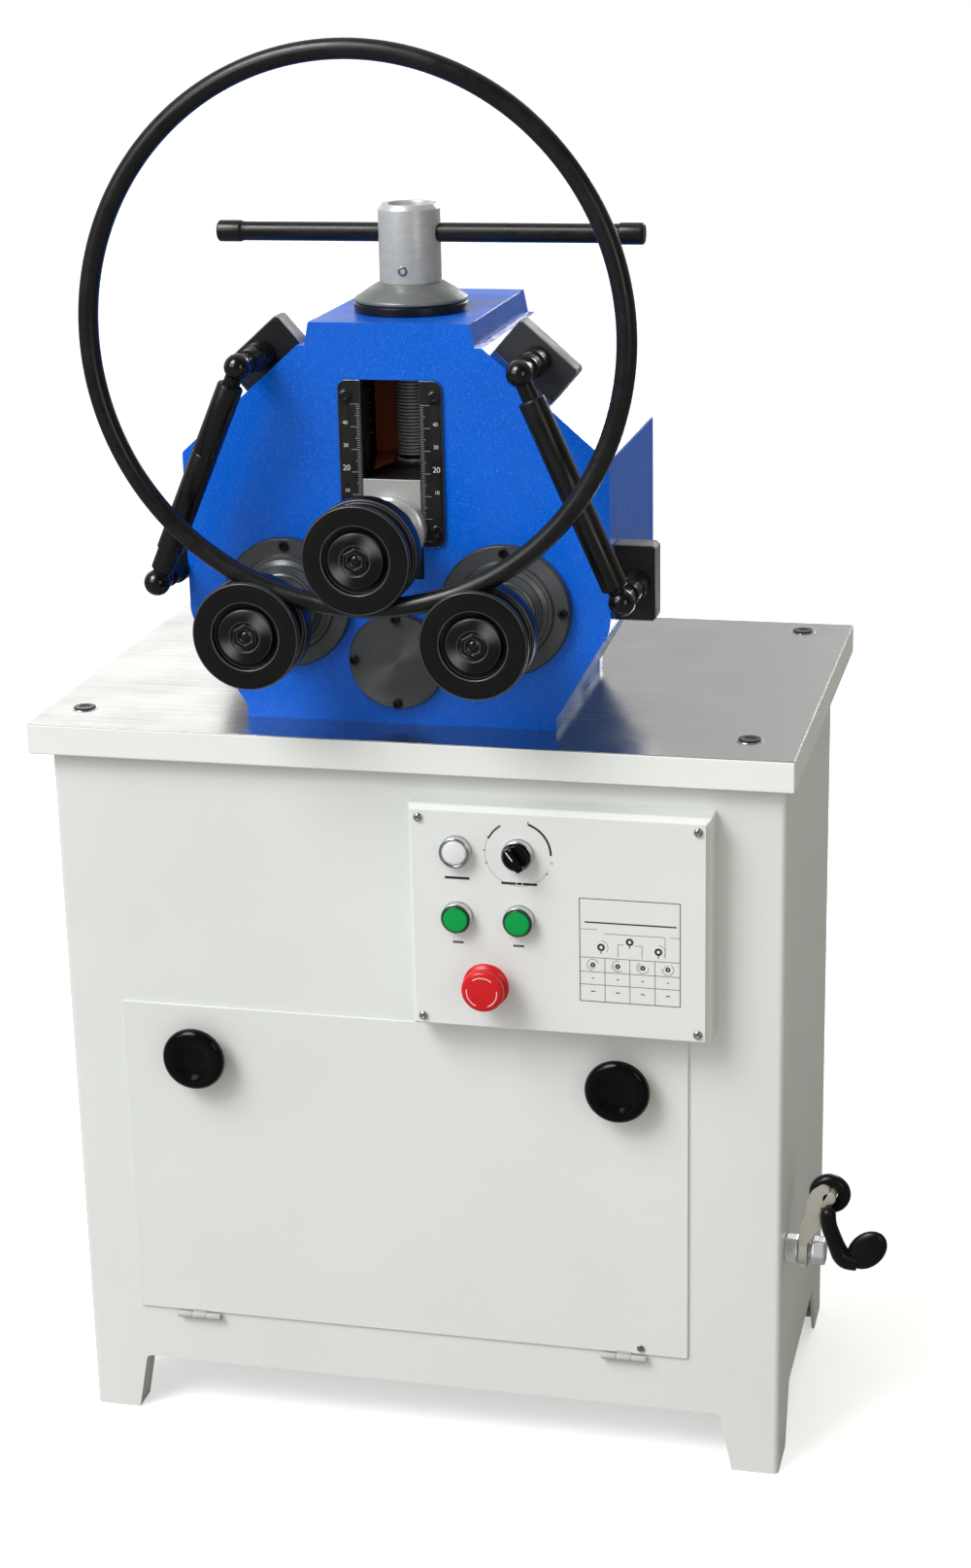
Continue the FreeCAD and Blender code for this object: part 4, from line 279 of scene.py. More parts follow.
# near black: greasy dark steel on the ways, and painted shade in hollows such as the thread
# roots, the bar hole and the cavity behind the slot
greaseAndShadeBlack = paint("greaseAndShadeBlack", (0.003, 0.003, 0.003), (0.006, 0.005, 0.005), 0, 0.35, 0.3)
greyPlastic = paint("greyPlastic", (0.35, 0.36, 0.37), (0.3, 0.31, 0.32), 0, 0.45, 0.2)
# the caps and flanges get painted sheen lobes over their lathe marks
rollFinish, capFinish, flangeFinish = {}, {}, {}
for key in ("lowerLeft", "lowerRight", "upper"):
    rollFinish[key] = lathe("RollBlack", key, (0.0032, 0.0032, 0.0036),
                            (0.0075, 0.0075, 0.0085), 0.27, 0.12, 0.05, 0.4)
    capFinish[key] = lathe("CapBlack", key, (0.0065, 0.0068, 0.0075), (0.004, 0.004, 0.0045),
                           0.25, 0.25, 0.2, paintedSheen=0.3)
for key in ("lowerLeft", "lowerRight", "pinion"):
    flangeFinish[key] = lathe("Turned", key, (0.12, 0.128, 0.134), (0.072, 0.077, 0.081), 0.32,
                              0.25, 0.45, paintedSheen=0.22)
print("finishes ready")


# ---- shaping, in mm ----

def finishPiece(name, bm, materials, node=None, angle=32, body="machine",
                modifiers=()):
    bmesh.ops.remove_doubles(bm, verts=bm.verts, dist=2e-6)
    bmesh.ops.recalc_face_normals(bm, faces=bm.faces)
    mesh = bpy.data.meshes.new(name)
    bm.to_mesh(mesh)
    bm.free()
    mesh.shade_smooth()
    mesh.set_sharp_from_angle(angle=math.radians(angle))
    for material in materials if isinstance(materials, list) else [materials]:
        mesh.materials.append(material)
    piece = bpy.data.objects.new(name, mesh)
    scene.collection.objects.link(piece)
    for kind, settings in modifiers:
        modifier = piece.modifiers.new(kind.title(), kind)
        for key, value in settings.items():
            setattr(modifier, key, value)
    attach(piece, body)
    if node:
        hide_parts(node)


def edgeRound(width, segments=2, material=-1):
    return ("BEVEL", {"width": width * mm, "segments": segments, "limit_method": "ANGLE",
                      "angle_limit": math.radians(30), "harden_normals": True,
                      "material": material, "use_clamp_overlap": True})


def sheetWall(thickness):
    return ("SOLIDIFY", {"thickness": thickness * mm, "offset": -1})


def bevelGeom(bm, geom, offset, segments, affect="EDGES", material=-1, clamp=False):
    bmesh.ops.bevel(bm, geom=geom, offset=offset * mm, offset_type="OFFSET", segments=segments,
                    profile=0.5, affect=affect, material=material, clamp_overlap=clamp)


def spinGeom(bm, geom, steps, centre=(0, 0, 0), axis=(0, 0, 1), angle=math.tau, merge=True,
             rise=0):
    bmesh.ops.spin(bm, geom=geom, cent=centre, axis=axis, dvec=(0, 0, rise), angle=angle,
                   steps=steps, use_merge=merge, use_normal_flip=False, use_duplicate=False)


def pushOut(bm, grown, x, y, z):
    verts = [v for v in grown["geom"] if isinstance(v, bmesh.types.BMVert)]
    bmesh.ops.translate(bm, vec=(x * mm, y * mm, z * mm), verts=verts)


def edgesAt(verts):
    return list({e for v in verts for e in v.link_edges})


def placeAt(x, y, z, turn=upright):
    return Matrix.Translation((x * mm, y * mm, z * mm)) @ turn


def roundCorners(bm, picks, steps=5):
    # rounds outline corners; picks is a list of (vertex, radius)
    for vert, radius in picks:
        arms = [e.other_vert(vert).co - vert.co for e in vert.link_edges
                if e.is_wire or e.is_boundary]
        reach = radius * math.tan((math.pi - arms[0].angle(arms[1])) / 2)
        bevelGeom(bm, [vert], reach, steps, "VERTICES")


def spinProfile(bm, profile, matrix=upright, steps=72, soften=0, mark=-1):
    # profile is (radius, height) along the piece's own Z; mark is the softened edges' material
    start = set(bm.faces)
    verts = [bm.verts.new((r * mm, 0, h * mm)) for r, h in profile]
    spinGeom(bm, verts + [bm.edges.new(pair) for pair in zip(verts, verts[1:])], steps)
    own = {v for f in bm.faces if f not in start for v in f.verts}
    bmesh.ops.remove_doubles(bm, verts=list(own), dist=2e-6)
    faces = [f for f in bm.faces if f not in start]
    bmesh.ops.recalc_face_normals(bm, faces=faces)
    if soften:
        rings = [e for e in {e for f in faces for e in f.edges}
                 if len(e.link_faces) == 2 and e.calc_face_angle(0) > math.radians(22)]
        bevelGeom(bm, rings, soften, 2, material=mark, clamp=True)
    own = {v for f in bm.faces if f not in start for v in f.verts}
    bmesh.ops.transform(bm, matrix=matrix, verts=list(own))


def turnedPiece(name, profile, at, materials, node=None, steps=72, soften=0.4,
                mark=-1, turn=toFront, body="machine", angle=32):
    # at is one place or a list of places
    bm = bmesh.new()
    for place in at if isinstance(at, list) else [at]:
        spinProfile(bm, profile, placeAt(*place, turn), steps, soften, mark)
    finishPiece(name, bm, materials, node, angle, body)


def ringShape(bm, centre, middle, bar, segments, steps):
    x, y, z = centre
    made = bmesh.ops.create_circle(bm, segments=segments, radius=bar * mm,
                                   matrix=placeAt(x + middle, y, z))
    spinGeom(bm, made["verts"] + edgesAt(made["verts"]), steps, Vector(centre) * mm, (0, 1, 0))


def boxShape(bm, low, high):
    size = [(b - a) * mm for a, b in zip(low, high)]
    middle = [(a + b) / 2 for a, b in zip(low, high)]
    made = bmesh.ops.create_cube(
        bm, size=1, matrix=placeAt(*middle) @ Matrix.Diagonal((*size, 1)))
    return made["verts"]


def boxPiece(name, low, high, materials, node=None, slot=None, rounding=0.6, segments=2,
             body="machine"):
    bm = bmesh.new()
    boxShape(bm, low, high)
    finishPiece(name, bm, materials, node, body=body,
                modifiers=[edgeRound(rounding, segments)])


def rectangle(left, low, right, high):
    return [(left, low), (right, low), (right, high), (left, high)]


def outlineFace(bm, outline, rounds=None, holes=(), windows=()):
    # a flat face in the XZ plane with round holes and windows; rounds maps corner to radius,
    # or is one radius for all corners
    if isinstance(rounds, (int, float)):
        rounds = dict.fromkeys(range(len(outline)), rounds)
    made = []
    for points, radii in [(outline, rounds or {})] + [(window, {}) for window in windows]:
        verts = [bm.verts.new((x * mm, 0, z * mm)) for x, z in points]
        edges = [bm.edges.new((verts[i - 1], verts[i])) for i in range(len(verts))]
        before = set(bm.edges) - set(edges)
        roundCorners(bm, [(verts[i], r) for i, r in radii.items()])
        made += [e for e in bm.edges if e not in before and e not in made]
    for x, z, radius in holes:
        ring = bmesh.ops.create_circle(bm, segments=48, radius=radius * mm,
                                       matrix=placeAt(x, 0, z, toFront))
        made += edgesAt(ring["verts"])
    filled = bmesh.ops.triangle_fill(bm, use_beauty=True, use_dissolve=False, edges=made)
    return [f for f in filled["geom"] if isinstance(f, bmesh.types.BMFace)]


def platePiece(name, outline, front, back, materials, node=None, slot=None, rounding=0.6,
               segments=2, mark=-1, body="machine", rounds=None, holes=(), windows=(),
               at=upright, side=0, sideTop=2000):
    # side is the material of the faces about the outline, up to the height sideTop
    bm = bmesh.new()
    faces = outlineFace(bm, outline, rounds, holes, windows)
    bmesh.ops.translate(bm, vec=(0, front * mm, 0), verts=bm.verts)
    pushOut(bm, bmesh.ops.extrude_face_region(bm, geom=faces), 0, back - front, 0)
    bm.normal_update()
    for face in bm.faces:
        low = face.calc_center_median().z < sideTop * mm
        face.material_index = side if low and abs(face.normal.y) < 0.5 else 0
    bmesh.ops.transform(bm, matrix=at, verts=bm.verts)
    finishPiece(name, bm, materials, node, body=body,
                modifiers=[edgeRound(rounding, segments, mark)] if rounding else [])


def mirrored(half):
    return half + [(-x, z) for x, z in reversed(half)]


def inkBar(bm, start, end, y, width, rise=0.12):
    dx, dz = end[0] - start[0], end[1] - start[1]
    turn = Matrix.Rotation(-math.atan2(dz, dx), 4, "Y")
    middle = ((start[0] + end[0]) / 2, y - rise / 2, (start[1] + end[1]) / 2)
    size = Matrix.Diagonal((math.hypot(dx, dz) * mm, rise * mm, width * mm, 1))
    bmesh.ops.create_cube(bm, size=1, matrix=placeAt(*middle, turn) @ size)


def inkArc(bm, x, z, y, radius, width, start=0, sweep=360, rise=0.12, steps=40):
    # degrees run anticlockwise from the right
    whole = sweep >= 360
    turn = Matrix.Rotation(-math.radians(start), 4, "Y")
    corners = [(radius - width / 2, 0), (radius + width / 2, 0),
               (radius + width / 2, -rise), (radius - width / 2, -rise)]
    verts = [bm.verts.new(placeAt(x, y, z) @ turn @ Vector((r * mm, h * mm, 0)))
             for r, h in corners]
    geom = verts + [bm.edges.new((verts[i - 1], verts[i])) for i in range(4)]
    if not whole:
        geom.append(bm.faces.new(verts))
    spinGeom(bm, geom, steps, (x * mm, y * mm, z * mm), (0, -1, 0), math.radians(sweep), whole)


def inkNumber(bm, words, x, z, y, height):
    letters = bpy.data.curves.new("numberCurve", "FONT")
    letters.body = words
    letters.size = height * mm
    letters.extrude = 0.06 * mm
    letters.align_x = letters.align_y = "CENTER"
    flat = meshOf(letters)
    flat.transform(placeAt(x, y, z, toFront))
    bm.from_mesh(flat)
    bpy.data.meshes.remove(flat)


def meshOf(curve):
    holder = bpy.data.objects.new(curve.name, curve)
    scene.collection.objects.link(holder)
    bpy.context.view_layer.update()
    mesh = bpy.data.meshes.new_from_object(holder)
    bpy.data.objects.remove(holder)
    bpy.data.curves.remove(curve)
    return mesh


hexRoot = 1.732   # width across flats over corner radius


def socketScrew(bm, at, turn, radius, height, across):
    # cap screw head with a six-sided socket
    edge, depth = 0.5, 2
    circles = [(24, radius * f, h) for f, h in ((1, 0), (1, height - edge),
                                                (1 - edge / radius, height))]
    circles += [(6, across / hexRoot, height), (6, across / hexRoot, height - depth)]
    loops, caps = [], []
    for segments, r, h in circles:
        matrix = placeAt(*at, turn) @ Matrix.Translation((0, 0, h * mm))
        ring = bmesh.ops.create_circle(bm, segments=segments, radius=r * mm, matrix=matrix)
        caps.append(ring["verts"])
        loops.append(edgesAt(ring["verts"]))
    for first, second in ((0, 1), (1, 2), (3, 4)):
        bmesh.ops.bridge_loops(bm, edges=loops[first] + loops[second])
    bmesh.ops.triangle_fill(bm, use_beauty=True, use_dissolve=False, edges=loops[2] + loops[3])
    for end in (4, 0):
        bmesh.ops.contextual_create(bm, geom=caps[end])


def socketScrews(name, spots, material, node=None, turn=toFront, radius=4.25,
                 height=3, across=4.4):
    bm = bmesh.new()
    for at in spots:
        socketScrew(bm, at, turn, radius, height, across)
    finishPiece(name, bm, material, node, 30)


# ---- camera, floor and light ----

view = {
    "place": (0.62219, -2.43745, 1.41933),
    "yaw": 13.66010554,
    "pitch": 17.9232152,
    "roll": -1.23802325,
    "lens": 63.96,
}


def buildView():
    yaw, pitch, roll = (math.radians(view[key]) for key in ("yaw", "pitch", "roll"))
    ahead = Vector((-math.sin(yaw) * math.cos(pitch), math.cos(yaw) * math.cos(pitch),
                    -math.sin(pitch)))
    side = Vector((math.cos(yaw), math.sin(yaw), 0))
    up = side.cross(ahead)
    right = math.cos(roll) * side + math.sin(roll) * up
    up = -math.sin(roll) * side + math.cos(roll) * up
    camera = bpy.data.objects.new("viewCamera", bpy.data.cameras.new("viewCamera"))
    camera.data.lens = view["lens"]
    camera.data.sensor_width = 36
    scene.collection.objects.link(camera)
    turn = Matrix((right, up, -ahead)).transposed().to_4x4()
    camera.matrix_world = Matrix.Translation(view["place"]) @ turn
    scene.camera = camera


studio = {
    "floor": (0.8, 0.8, 0.8),
    "floorBounce": 0.42,
    "floorMirror": 0.13,
    "floorGlow": 0.5,
    "frontSky": 0.1,
    "frontSoft": 0.5,
    "backSky": 0.6,
    "rightSky": 0.44,
    "warmSky": (1, 0.94, 0.76),
    # place, target, power, size and tint of the area lamps
    "lamps": {
        "keyLight": ((-1.9, -2.5, 2.7), (0, 0, 0.7), 38, (2.4, 2.4), (1, 1, 1)),
        "fillLight": ((2.4, -2.6, 1.6), (0, 0, 0.8), 9, (1, 1.6), (1, 0.93, 0.76)),
        "backLeftLight": ((-2, 3, 1.7), (-0.2, 0, 0.8), 7.5, (1.8, 1.4), (1, 1, 1)),
        "backRightLight": ((0.85, 3, 1.9), (0.1, 0, 0.9), 26, (1, 0.8), (1, 1, 1)),
    },
    "sunPlace": (-2, -2.4, 3.6),
    "sunPower": 1.7,
    "sunSpread": 28,
}


def aimLamp(lamp, place, target, power):
    lamp.energy = power
    holder = bpy.data.objects.new(lamp.name, lamp)
    scene.collection.objects.link(holder)
    aim = Vector(target) - Vector(place)
    holder.rotation_euler = aim.to_track_quat("-Z", "Y").to_euler()
    holder.location = place


def buildLamps():
    for name, (place, target, power, size, tint) in studio["lamps"].items():
        lamp = bpy.data.lights.new(name, "AREA")
        lamp.color = tint
        lamp.shape = "RECTANGLE"
        lamp.size, lamp.size_y = size
        aimLamp(lamp, place, target, power)
    sun = bpy.data.lights.new("roomLight", "SUN")
    sun.angle = math.radians(studio["sunSpread"])
    aimLamp(sun, studio["sunPlace"], (0, 0, 0), studio["sunPower"])


def buildBackdrop():
    # white for the camera; for other rays dim in front and warm to the right, as a room is
    world = bpy.data.worlds.new("studioWorld")
    scene.world = world
    world.use_nodes = True
    tree = world.node_tree
    ground = tree.nodes["Background"].inputs
    around = tree.nodes.new("ShaderNodeTexCoord").outputs["Generated"]
    heading = addNode(tree, "SeparateXYZ", {0: around})
    path = tree.nodes.new("ShaderNodeLightPath").outputs
    soft = mathNode(tree, "MULTIPLY", path["Is Diffuse Ray"], studio["frontSoft"])
    before = mathNode(tree, "ADD", soft, studio["frontSky"])
    behind = rangeNode(tree, heading["Y"], -0.2, 0.6, before, studio["backSky"])
    right = rangeNode(tree, heading["X"], 0, 0.8, 1, studio["rightSky"])
    strength = mathNode(tree, "MULTIPLY", behind, right)
    tree.links.new(mathNode(tree, "MAXIMUM", strength, path["Is Camera Ray"]),
                   ground["Strength"])
    unseen = mathNode(tree, "SUBTRACT", 1, path["Is Camera Ray"])
    warm = mathNode(tree, "MULTIPLY", rangeNode(tree, heading["X"], 0.1, 0.7), unseen)
    tree.links.new(mixNode(tree, warm, (1, 1, 1, 1), (*studio["warmSky"], 1)), ground["Color"])


def buildFloor():
    bm = bmesh.new()
    bmesh.ops.create_grid(bm, x_segments=1, y_segments=1, size=30)
    mesh = bpy.data.meshes.new("studioFloor")
    bm.to_mesh(mesh)
    bm.free()
    floor = bpy.data.objects.new("studioFloor", mesh)
    scene.collection.objects.link(floor)
    plain = paint("studioFloor", studio["floor"], studio["floor"], 0, 0.7, 0)
    tree = plain.node_tree
    surface = tree.nodes["Principled BSDF"].inputs
    surface["Emission Color"].default_value = (1, 1, 1, 1)
    path = tree.nodes.new("ShaderNodeLightPath").outputs
    seen = path["Is Camera Ray"]
    tree.links.new(mathNode(tree, "MULTIPLY", seen, studio["floorGlow"]),
                   surface["Emission Strength"])
    bounce, mirror = ((*[studio[key]] * 3, 1) for key in ("floorBounce", "floorMirror"))
    unseen = mixNode(tree, path["Is Glossy Ray"], bounce, mirror)
    tree.links.new(mixNode(tree, seen, unseen, (*studio["floor"], 1)), surface["Base Color"])
    mesh.materials.append(plain)


buildView()
buildFloor()
buildBackdrop()
buildLamps()
scene.view_settings.view_transform = "Standard"
print("camera and light ready")


# ---- cabinet and table ----

cabinet = {
    "half": (337, 166.5),
    "top": 694,
    "corner": 5.5,
    "arch": 58,
    # widths of a foot at the floor and under the arch
    "frontFoot": (44, 55),
    "sideFoot": (51, 75),
    "archCorner": 5,
    "doorHole": (-266, 234, 131.5, 414.5),
    "flange": 28,
    "floorThick": 3,
    # reach along X and Y and thickness; then the anchor hole's X, Y and radius
    "footPlate": (42, 28, 5),
    "anchor": (315, 152.5, 6),
    "gap": 3.2,
}


def wallFaces(bm, axis, sign, low, high):
    return [f for f in bm.faces if f.normal[axis] * sign > 0.9
            and low * mm < f.calc_center_median().z < high * mm]


def cutRegion(bm, faces, point, normal):
    geom = list({v for f in faces for v in f.verts} | set(edgesOfFaces(faces)) | set(faces))
    bmesh.ops.bisect_plane(bm, geom=geom, dist=1e-6, plane_co=Vector(point) * mm,
                           plane_no=Vector(normal))


def edgesOfFaces(faces):
    return [e for f in faces for e in f.edges]


def cutFeet(bm):
    # slanting cuts where each wall narrows to its two feet, then the middle falls out
    arch = cabinet["arch"]
    for axis, part in ((1, "frontFoot"), (0, "sideFoot")):
        foot, knee = cabinet[part]
        for side in (-1, 1):
            for sign in (-1, 1):
                point, normal = [0, 0, 0], [0, 0, knee - foot]
                point[1 - axis] = sign * (cabinet["half"][1 - axis] - foot)
                normal[1 - axis] = sign * arch
                cutRegion(bm, wallFaces(bm, axis, side, -1, arch), point, normal)
    gone = []
    for face in bm.faces:
        x, y, z = face.calc_center_median() / mm
        onFront = abs(face.normal.y) > 0.9 and abs(x) < cabinet["half"][0] - 60
        onSide = abs(face.normal.x) > 0.9 and abs(y) < cabinet["half"][1] - 80
        if z <= arch and (onFront or onSide):
            gone.append(face)
    bmesh.ops.delete(bm, geom=gone, context="FACES")


def cutDoorHole(bm):
    left, right, low, high = cabinet["doorHole"]
    for point, normal in (((left, 0, 0), (1, 0, 0)), ((right, 0, 0), (1, 0, 0)),
                          ((0, 0, low), (0, 0, 1)), ((0, 0, high), (0, 0, 1))):
        cutRegion(bm, wallFaces(bm, 1, -1, cabinet["arch"], 1000), point, normal)
    hole = [f for f in wallFaces(bm, 1, -1, low, high)
            if left * mm < f.calc_center_median().x < right * mm]
    bmesh.ops.delete(bm, geom=hole, context="FACES")


def buildCabinet():
    halfX, halfY = cabinet["half"]
    arch = cabinet["arch"]
    bm = bmesh.new()
    boxShape(bm, (-halfX, -halfY, 0), (halfX, halfY, cabinet["top"]))
    posts = [e for e in bm.edges if abs(e.verts[0].co.z - e.verts[1].co.z) > 0.1]
    bevelGeom(bm, posts, cabinet["corner"], 5)
    lids = [f for f in bm.faces if abs(f.normal.z) > 0.9]
    bmesh.ops.delete(bm, geom=lids, context="FACES_ONLY")
    bmesh.ops.bisect_plane(bm, geom=bm.verts[:] + bm.edges[:] + bm.faces[:], dist=1e-6,
                           plane_co=(0, 0, arch * mm), plane_no=(0, 0, 1))
    cutFeet(bm)
    cutDoorHole(bm)
    knees = [v for v in bm.verts if abs(v.co.z / mm - arch) < 0.1 and v.is_boundary
             and len([e for e in v.link_edges if e.is_boundary]) == 2
             and abs(abs(v.co.y / mm) - halfY) < 0.1
             and abs(abs(v.co.x / mm) - halfX + cabinet["frontFoot"][1]) < 1]
    roundCorners(bm, [(v, cabinet["archCorner"]) for v in knees], 4)
    for side in (-1, 1):
        rim = [e for e in bm.edges if e.is_boundary
               and all(abs(v.co.y / mm - side * halfY) < 0.1 for v in e.verts)
               and all(v.co.z / mm < arch + 0.2 for v in e.verts)
               and not all(v.co.z / mm < 0.1 for v in e.verts)]
        pushOut(bm, bmesh.ops.extrude_edge_only(bm, edges=rim), 0, -side * cabinet["flange"], 0)
    finishPiece("cabinetShell", bm, greyPaint, "cabinet_shell", 40,
                modifiers=[sheetWall(3), edgeRound(0.7)])
    gap = cabinet["gap"]
    boxPiece("cabinetFloor", (-halfX + gap, -halfY + gap, arch),
             (halfX - gap, halfY - gap, arch + cabinet["floorThick"]), greyPaint, rounding=0.3)
    flat = Matrix(((1, 0, 0, 0), (0, 0, 1, 0), (0, -1, 0, 0), (0, 0, 0, 1)))
    anchorX, anchorY, anchorHole = cabinet["anchor"]
    reachX, reachY, thick = cabinet["footPlate"]
    for sideX in (-1, 1):
        for sideY in (-1, 1):
            x = sorted((sideX * (halfX - gap), sideX * (halfX - reachX)))
            y = sorted((sideY * (halfY - gap), sideY * (halfY - reachY)))
            platePiece(f"footPlate_{sideX + 1}{sideY + 1}", rectangle(x[0], y[0], x[1], y[1]), 0,
                       -thick, greyPaint, rounding=0.4,
                       holes=[(sideX * anchorX, sideY * anchorY, anchorHole)], at=flat)


backPanel = {
    "outline": rectangle(-317, 78, 317, 674),
    "louvres": [rectangle(-90, z, 90, z + 6) for z in range(336, 417, 20)],
    "depth": (166.5, 168.5),
    "screws": [(x, z) for x in (-307, 307) for z in (88, 376, 664)],
}


def buildBackPanel():
    front, back = backPanel["depth"]
    platePiece("backPanel", backPanel["outline"], front, back, greyPaint, "back_panel",
               "grey_paint", 0.5, rounds=6, windows=backPanel["louvres"])
    socketScrews("backPanelScrews", [(x, back, z) for x, z in backPanel["screws"]], brightSteel,
                 turn=toBack, radius=4.2, height=2.6, across=3.6)


table = {
    "low": (-355, -179.8, 673.5),
    "high": (345, 286.2, 701.4),
    "wall": 4,
    # thickness and top
    "sheet": (1.4, 702),
    "sheetInset": 0.7,
    "bolts": [(-320, -121.8), (298, -121.8), (298, 253.2), (-320, 253.2)],
    "seat": [(0, 0), (12.6, 0), (12.4, 0.35), (11.4, 0.45), (0, 0.45)],
    "bolt": [(0, 0.3), (10.4, 0.3), (10.4, 1.1), (9.8, 1.5), (5, 1.5), (4.6, 0.9), (0, 0.9)],
}


def buildTable():
    bm = bmesh.new()
    boxShape(bm, table["low"], table["high"])
    bottom = [f for f in bm.faces if f.normal.z < -0.9]
    bmesh.ops.delete(bm, geom=bottom, context="FACES")
    finishPiece("tableRim", bm, rimPaintLit, "table_frame",
                modifiers=[sheetWall(table["wall"]), edgeRound(1.6, 4)])
    inset = table["sheetInset"]
    depth, top = table["sheet"]
    (x0, y0, _), (x1, y1, z) = table["low"], table["high"]
    boxPiece("tableSheet", (x0 + inset, y0 + inset, z - depth), (x1 - inset, y1 - inset, top),
             stainless, "table_top", "stainless", 0.25)
    spots = [(x, y, top) for x, y in table["bolts"]]
    turnedPiece("boltSeats", table["seat"], spots, brightSteel, steps=40, soften=0, turn=upright)
    turnedPiece("tableBoltHeads", table["bolt"], spots, blackSteel, "table_bolts",
                40, 0.1, turn=upright)


door = {
    "low": (-284, 113.5),
    "high": (252, 432.5),
    "sheet": 2.2,
    "back": -166.8,
    "hinge": (-170.7, 109.9),
    "knuckles": (-224, 192),
    "knuckleHalf": 7,
    "leaf": [(1.6, -7), (3.2, -7), (3.2, 7), (1.6, 7), (1.6, -7)],
    "leafTab": ((-169.4, 110.2), (-168, 115.5)),
    "base": [(0, -7), (3.2, -7), (3.2, 7), (0, 7)],
    "baseTab": ((-170.7, 106.8), (-166.5, 109.4)),
    "baseShift": 14.3,
    "pin": [(0, -21.6), (1.4, -21.6), (1.4, 21.6), (0, 21.6)],
    # the stiffening rim: its two insets from the edge, and its depth
    "rim": (19, 21, 8),
    "pulls": [(-210, 385.5), (190, 385.5)],
    "pull": [(0, 0), (12, 0), (12.6, 3), (14, 6.5), (19, 9.4), (25.5, 10.6), (28.6, 12.2),
             (29.9, 14.6), (29.9, 16.6), (28.6, 19.3), (25.6, 21.4), (22, 21.9), (18.8, 21),
             (15.5, 18.9), (12, 17.6), (6, 17.1), (0, 17)],
    "screwAt": (208, 120),
    "screw": [(0, 0), (4, 0), (3.6, 1.3), (2.2, 2.2), (0, 2.5)],
}


def buildKnuckle(bm, x, part):
    spinProfile(bm, door[part], placeAt(x, *door["hinge"], toRight), 24, 0.2)
    (y0, z0), (y1, z1) = door[part + "Tab"]
    half = door["knuckleHalf"]
    boxShape(bm, (x - half, y0, z0), (x + half, y1, z1))


def buildDoor():
    (x0, z0), (x1, z1) = door["low"], door["high"]
    back = door["back"]
    front = back - door["sheet"]
    bm = bmesh.new()
    boxShape(bm, (x0, front, z0), (x1, back, z1))
    corners = [e for e in bm.edges if abs(e.verts[0].co.y - e.verts[1].co.y) > 0.001]
    bevelGeom(bm, corners, 2, 3)
    finishPiece("doorSheet", bm, greyPaint, "door_panel", body="door",
                modifiers=[edgeRound(0.9, 3)])
    outer, inner, depth = door["rim"]
    rim, window = (rectangle(x0 + inset, z0 + inset, x1 - inset, z1 - inset)
                   for inset in (outer, inner))
    platePiece("doorStiffener", rim, back, back + depth, greyPaint, rounding=0.3, body="door",
               windows=[window])
    leaf, base = bmesh.new(), bmesh.new()
    for x in door["knuckles"]:
        buildKnuckle(leaf, x, "leaf")
        for side in (-1, 1):
            buildKnuckle(base, x + side * door["baseShift"], "base")
        spinProfile(base, door["pin"], placeAt(x, *door["hinge"], toRight), 12)
    finishPiece("doorKnuckles", leaf, hingeShadedPaint, body="door")
    finishPiece("fixedKnuckles", base, hingeShadedPaint, "door_hinges")
    turnedPiece("doorPulls", door["pull"], [(x, front, z) for x, z in door["pulls"]],
                glossBlack, "door_pulls", 64, 0, body="door", angle=60)
    x, z = door["screwAt"]
    turnedPiece("doorScrew", door["screw"], (x, front, z), brightSteel, steps=24, soften=0,
                body="door")


buildCabinet()
buildBackPanel()
buildTable()
buildDoor()
print("cabinet, table and door built")


# ---- control box ----

controls = {
    "boxLow": (5, -195.5, 441),
    "boxHigh": (276, -166.5, 651),
    "bevel": 5,
    "panel": (9.5, 445.5, 271.5, 646.5),
    "face": -197.5,
    "lamp": (50, 611),
    "dial": (106, 611),
    "forward": (50, 549.5),
    "reverse": (106, 549.5),
    "stop": (78, 491),
    "screws": [(16, 452), (265, 452), (16, 640), (265, 640)],
    "screw": [(0, 0), (4.3, 0), (4.2, 0.9), (3.4, 2.1), (2.3, 2.7), (1.7, 2.75), (1.5, 1.6),
              (0, 1.5)],
}


def buildControlBox():
    bm = bmesh.new()
    boxShape(bm, controls["boxLow"], controls["boxHigh"])
    front = [e for e in bm.edges if all(v.co.y < -0.19 for v in e.verts)]
    bevelGeom(bm, front, controls["bevel"], 1)
    finishPiece("controlBox", bm, greyPaint, "control_box",
                modifiers=[edgeRound(1.2, 3)])
    face = controls["face"]
    platePiece("controlPanel", rectangle(*controls["panel"]), face, controls["boxLow"][1],
               panelPaint, "control_panel", "grey_paint", 0.5, rounds=1.5)
    turnedPiece("panelScrews", controls["screw"], [(x, face, z) for x, z in controls["screws"]],
                brightSteel, "panel_screws", 32, 0, angle=50)


